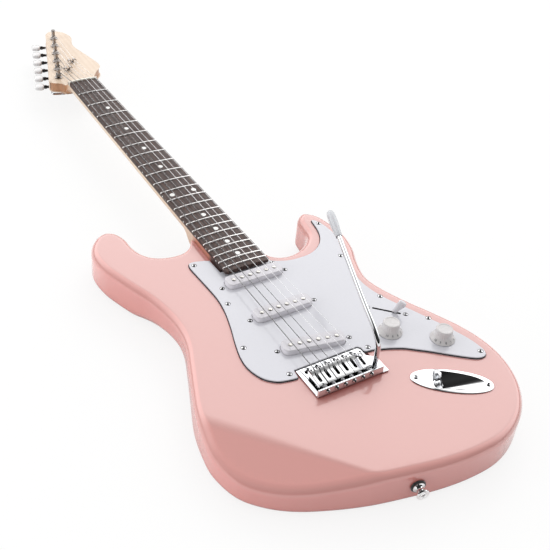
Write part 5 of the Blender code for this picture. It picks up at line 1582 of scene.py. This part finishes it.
def string(i):
    """String in three lengths, the tail, the crest over the saddle and the wire on to the post, and
    its turns.
    """
    radius, x, x_nut = STRING_R[i], saddle_x(i), nut_x(i)
    post_x, post_y = post_at(i)
    z_saddle, z_nut = saddle_z(i), nut_z(i)
    coil_r = POST_WAIST + radius
    tree = TREES[1] if i in (2, 3) else TREES[0] if i in (4, 5) else None
    z_post = FACE_Z + (5.6 if tree else 6.6)
    end = (post_x + coil_r, post_y + 0.3, z_post)
    path = [(x, STRING_HOLE_Y, -37), (x, STRING_HOLE_Y, 4.0), (x, STRING_HOLE_Y + 0.1, 6.6),
            (x, STRING_HOLE_Y + 0.6, 9.0), (x, -3.9, z_saddle - 2.2),
            (x, -1.6, z_saddle - 0.35), (x, -0.5, z_saddle - 0.03), (x, 0.8, z_saddle)]
    path += [(x + (x_nut - x) * t, SCALE_LENGTH * t, z_saddle + (z_nut - z_saddle) * t)
             for t in (0.02, 0.04, 0.08, 0.15, 0.3, 0.5, 0.7, 0.9)]
    path += [(x_nut, SCALE_LENGTH + 0.3, z_nut), (x_nut, SCALE_LENGTH + 2.4, z_nut - 0.12),
             (x_nut, SCALE_LENGTH + NUT_T, z_nut - 0.45)]
    if tree:
        tree_x = tree[0] + (-1 if i % 2 == 0 else 1) * tree[2]
        start, last = Vector(path[-1]), Vector(end)
        under = Vector((tree_x, tree[1], TREE_Z + 1.25 - radius))
        path += [start.lerp(under, t) for t in (0.3, 0.6, 0.9)]
        path += [under - (under - start).normalized() * 1.5 + Vector((0, 0, 0.05)), under,
                 under + (last - under).normalized() * 1.5 + Vector((0, 0, 0.02))]
        path += [under.lerp(last, t) for t in (0.4, 0.8)]
    path.append(end)
    look = ("wound_string" if i < 3 else "plain_string", "string_steel", 60)
    number, rider = "_%d" % (i + 1), "string_saddle_%d" % (i + 1)
    wire = Piece().tube(path[8:], radius, 12).done("string_wire" + number, None, *look,
                                                   replaces="string" + number)
    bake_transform(wire)
    crest = Piece().tube(path[6:9], radius, 12).done("string_crest" + number, None, *look)
    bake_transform(crest)
    tail = Piece().tube(path[:7], radius, 12).done("string_tail" + number, None, *look)
    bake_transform(tail)
    turns = 2.75 if i < 3 else 3.75
    # The turns close up where they would reach the bushing.
    pitch = 2.05 * radius * min(1, (z_post - FACE_Z - 2.7) / (2.05 * radius * turns))
    coil = []
    for k in range(int(turns * 20) + 1):
        angle = 2 * pi * k / 20
        coil.append((post_x + coil_r * cos(angle), post_y + coil_r * sin(angle),
                     z_post - pitch * k / 20))
    Piece().tube(coil, radius, 10).done("string_turns" + number, "peg_post" + number, *look)


for i in range(6):
    string(i)

# ---------------------------------------------------------------- stage, light and camera, metres
scene = bpy.context.scene


def floor_material():
    mat = material("floor_paper")
    colour = mat.tint((0.90, 0.90, 0.895), (0.915, 0.915, 0.91), mat.noise(scale=3.0, detail=3),
                      over=(0.3, 0.7))
    normal = mat.bump(mat.noise(scale=900.0, detail=3), strength=0.05, distance=0.0001)
    mat.surface(Base_Color=colour, Roughness=0.85, Specular_IOR_Level=0.2, Normal=normal)
    # Seen straight by the camera the sheet is lifted towards white.
    glow = mat.node("ShaderNodeEmission", (0.985, 0.985, 0.985))
    seen = mat.math("MULTIPLY", mat.node("ShaderNodeLightPath", out="Is Camera Ray"), 0.86)
    nodes = mat.tree.nodes
    lifted = mat.node("ShaderNodeMixShader", seen, nodes["Principled BSDF"].outputs[0], glow)
    mat.put(nodes["Material Output"].inputs["Surface"], lifted)


floor_material()
FLOOR_HALF, FLOOR_Z = 9.0, -0.0006
mesh = bpy.data.meshes.new("floor")
draft = bmesh.new()
draft.faces.new([draft.verts.new((x * FLOOR_HALF, y * FLOOR_HALF, FLOOR_Z))
                 for x, y in ((-1, -1), (1, -1), (1, 1), (-1, 1))])
draft.to_mesh(mesh)
draft.free()
floor = bpy.data.objects.new("floor", mesh)
scene.collection.objects.link(floor)
mesh.materials.append(MATERIALS["floor_paper"])

LIGHT_TARGET = Vector((0.0, 0.05, 0.04))
# name, place, width, height, watts, colour; neither shows in reflections.
LIGHTS = (("key_softbox", (1.5, 1.3, 1.9), 1.5, 1.5, 22, (1.0, 0.995, 0.985)),
          ("bass_side_fill", (-1.9, 0.35, 0.55), 1.2, 0.8, 14, (1.0, 1.0, 1.0)))
for name, at, width, height, watts, colour in LIGHTS:
    light = bpy.data.lights.new(name, "AREA")
    light.shape, light.size, light.size_y = "RECTANGLE", width, height
    light.energy, light.color = watts, colour
    lamp = bpy.data.objects.new(name, light)
    scene.collection.objects.link(lamp)
    lamp.location = at
    lamp.rotation_euler = (LIGHT_TARGET - Vector(at)).to_track_quat("-Z", "Y").to_euler()
    lamp.visible_glossy = False

# The studio: a bright sweep behind the object, a dimmer ceiling and camera side, and a dark
# band low down for the chrome. Ramps are (upward part of the ray, grey).
BACK_GLOSS = [(0.0, 0.01), (0.13, 0.02), (0.20, 0.45), (0.34, 0.95), (0.74, 0.85), (0.86, 0.40),
              (0.94, 0.04), (1.0, 0.015)]
FRONT_GLOSS = [(0.0, 0.006), (0.16, 0.006), (0.28, 0.010), (0.60, 0.014), (0.85, 0.010),
               (1.0, 0.008)]
BACK_SOFT = [(0.0, 0.50), (0.5, 0.60), (1.0, 0.40)]
FRONT_SOFT = [(0.0, 0.13), (0.5, 0.26), (1.0, 0.40)]
AWAY = (0.576, 0.817, 0.0)  # level direction away from the camera
world = bpy.data.worlds.new("studio")
scene.world = world
sky = Nodes(world)
ray = sky.coord.outputs["Generated"]
ray_z = sky.node("ShaderNodeSeparateXYZ", ray, out=2)
away = sky.node("ShaderNodeVectorMath", ray, AWAY, out="Value", operation="DOT_PRODUCT")
behind = sky.node("ShaderNodeMapRange", away, -0.35, 0.45, 0.0, 1.0,
                  interpolation_type="SMOOTHSTEP")


def studio(front, back):
    ramps = [sky.ramp(ray_z, [(position, (grey,) * 3) for position, grey in stops])
             for stops in (front, back)]
    return sky.mix(behind, *ramps)


gloss = studio(FRONT_GLOSS, BACK_GLOSS)
soft = studio(FRONT_SOFT, BACK_SOFT)
glossy_ray = sky.node("ShaderNodeLightPath", out="Is Glossy Ray")
background = sky.tree.nodes["Background"]
sky.put(background.inputs["Color"], sky.mix(glossy_ray, soft, gloss))
background.inputs["Strength"].default_value = 2.4
scene.view_settings.view_transform = "Standard"
scene.view_settings.look = "None"
scene.view_settings.exposure = 0.0
scene.view_settings.gamma = 1.0

CAMERA_AT = (-0.449898, -0.738776, 0.701204)
CAMERA_RIGHT = Vector((0.850545, -0.519252, 0.083369))
CAMERA_DOWN = Vector((-0.269735, -0.566814, -0.778437))
CAMERA_FORWARD = Vector((0.45146, 0.639609, -0.622161))
lens = bpy.data.cameras.new("camera")
camera = bpy.data.objects.new("camera", lens)
scene.collection.objects.link(camera)
scene.camera = camera
lens.sensor_width, lens.sensor_fit = 36.0, "HORIZONTAL"
lens.lens = 61.388247
lens.clip_start, lens.clip_end = 0.05, 30
turn = Matrix((CAMERA_RIGHT, -CAMERA_DOWN, -CAMERA_FORWARD)).transposed().to_4x4()
camera.matrix_world = Matrix.Translation(CAMERA_AT) @ turn
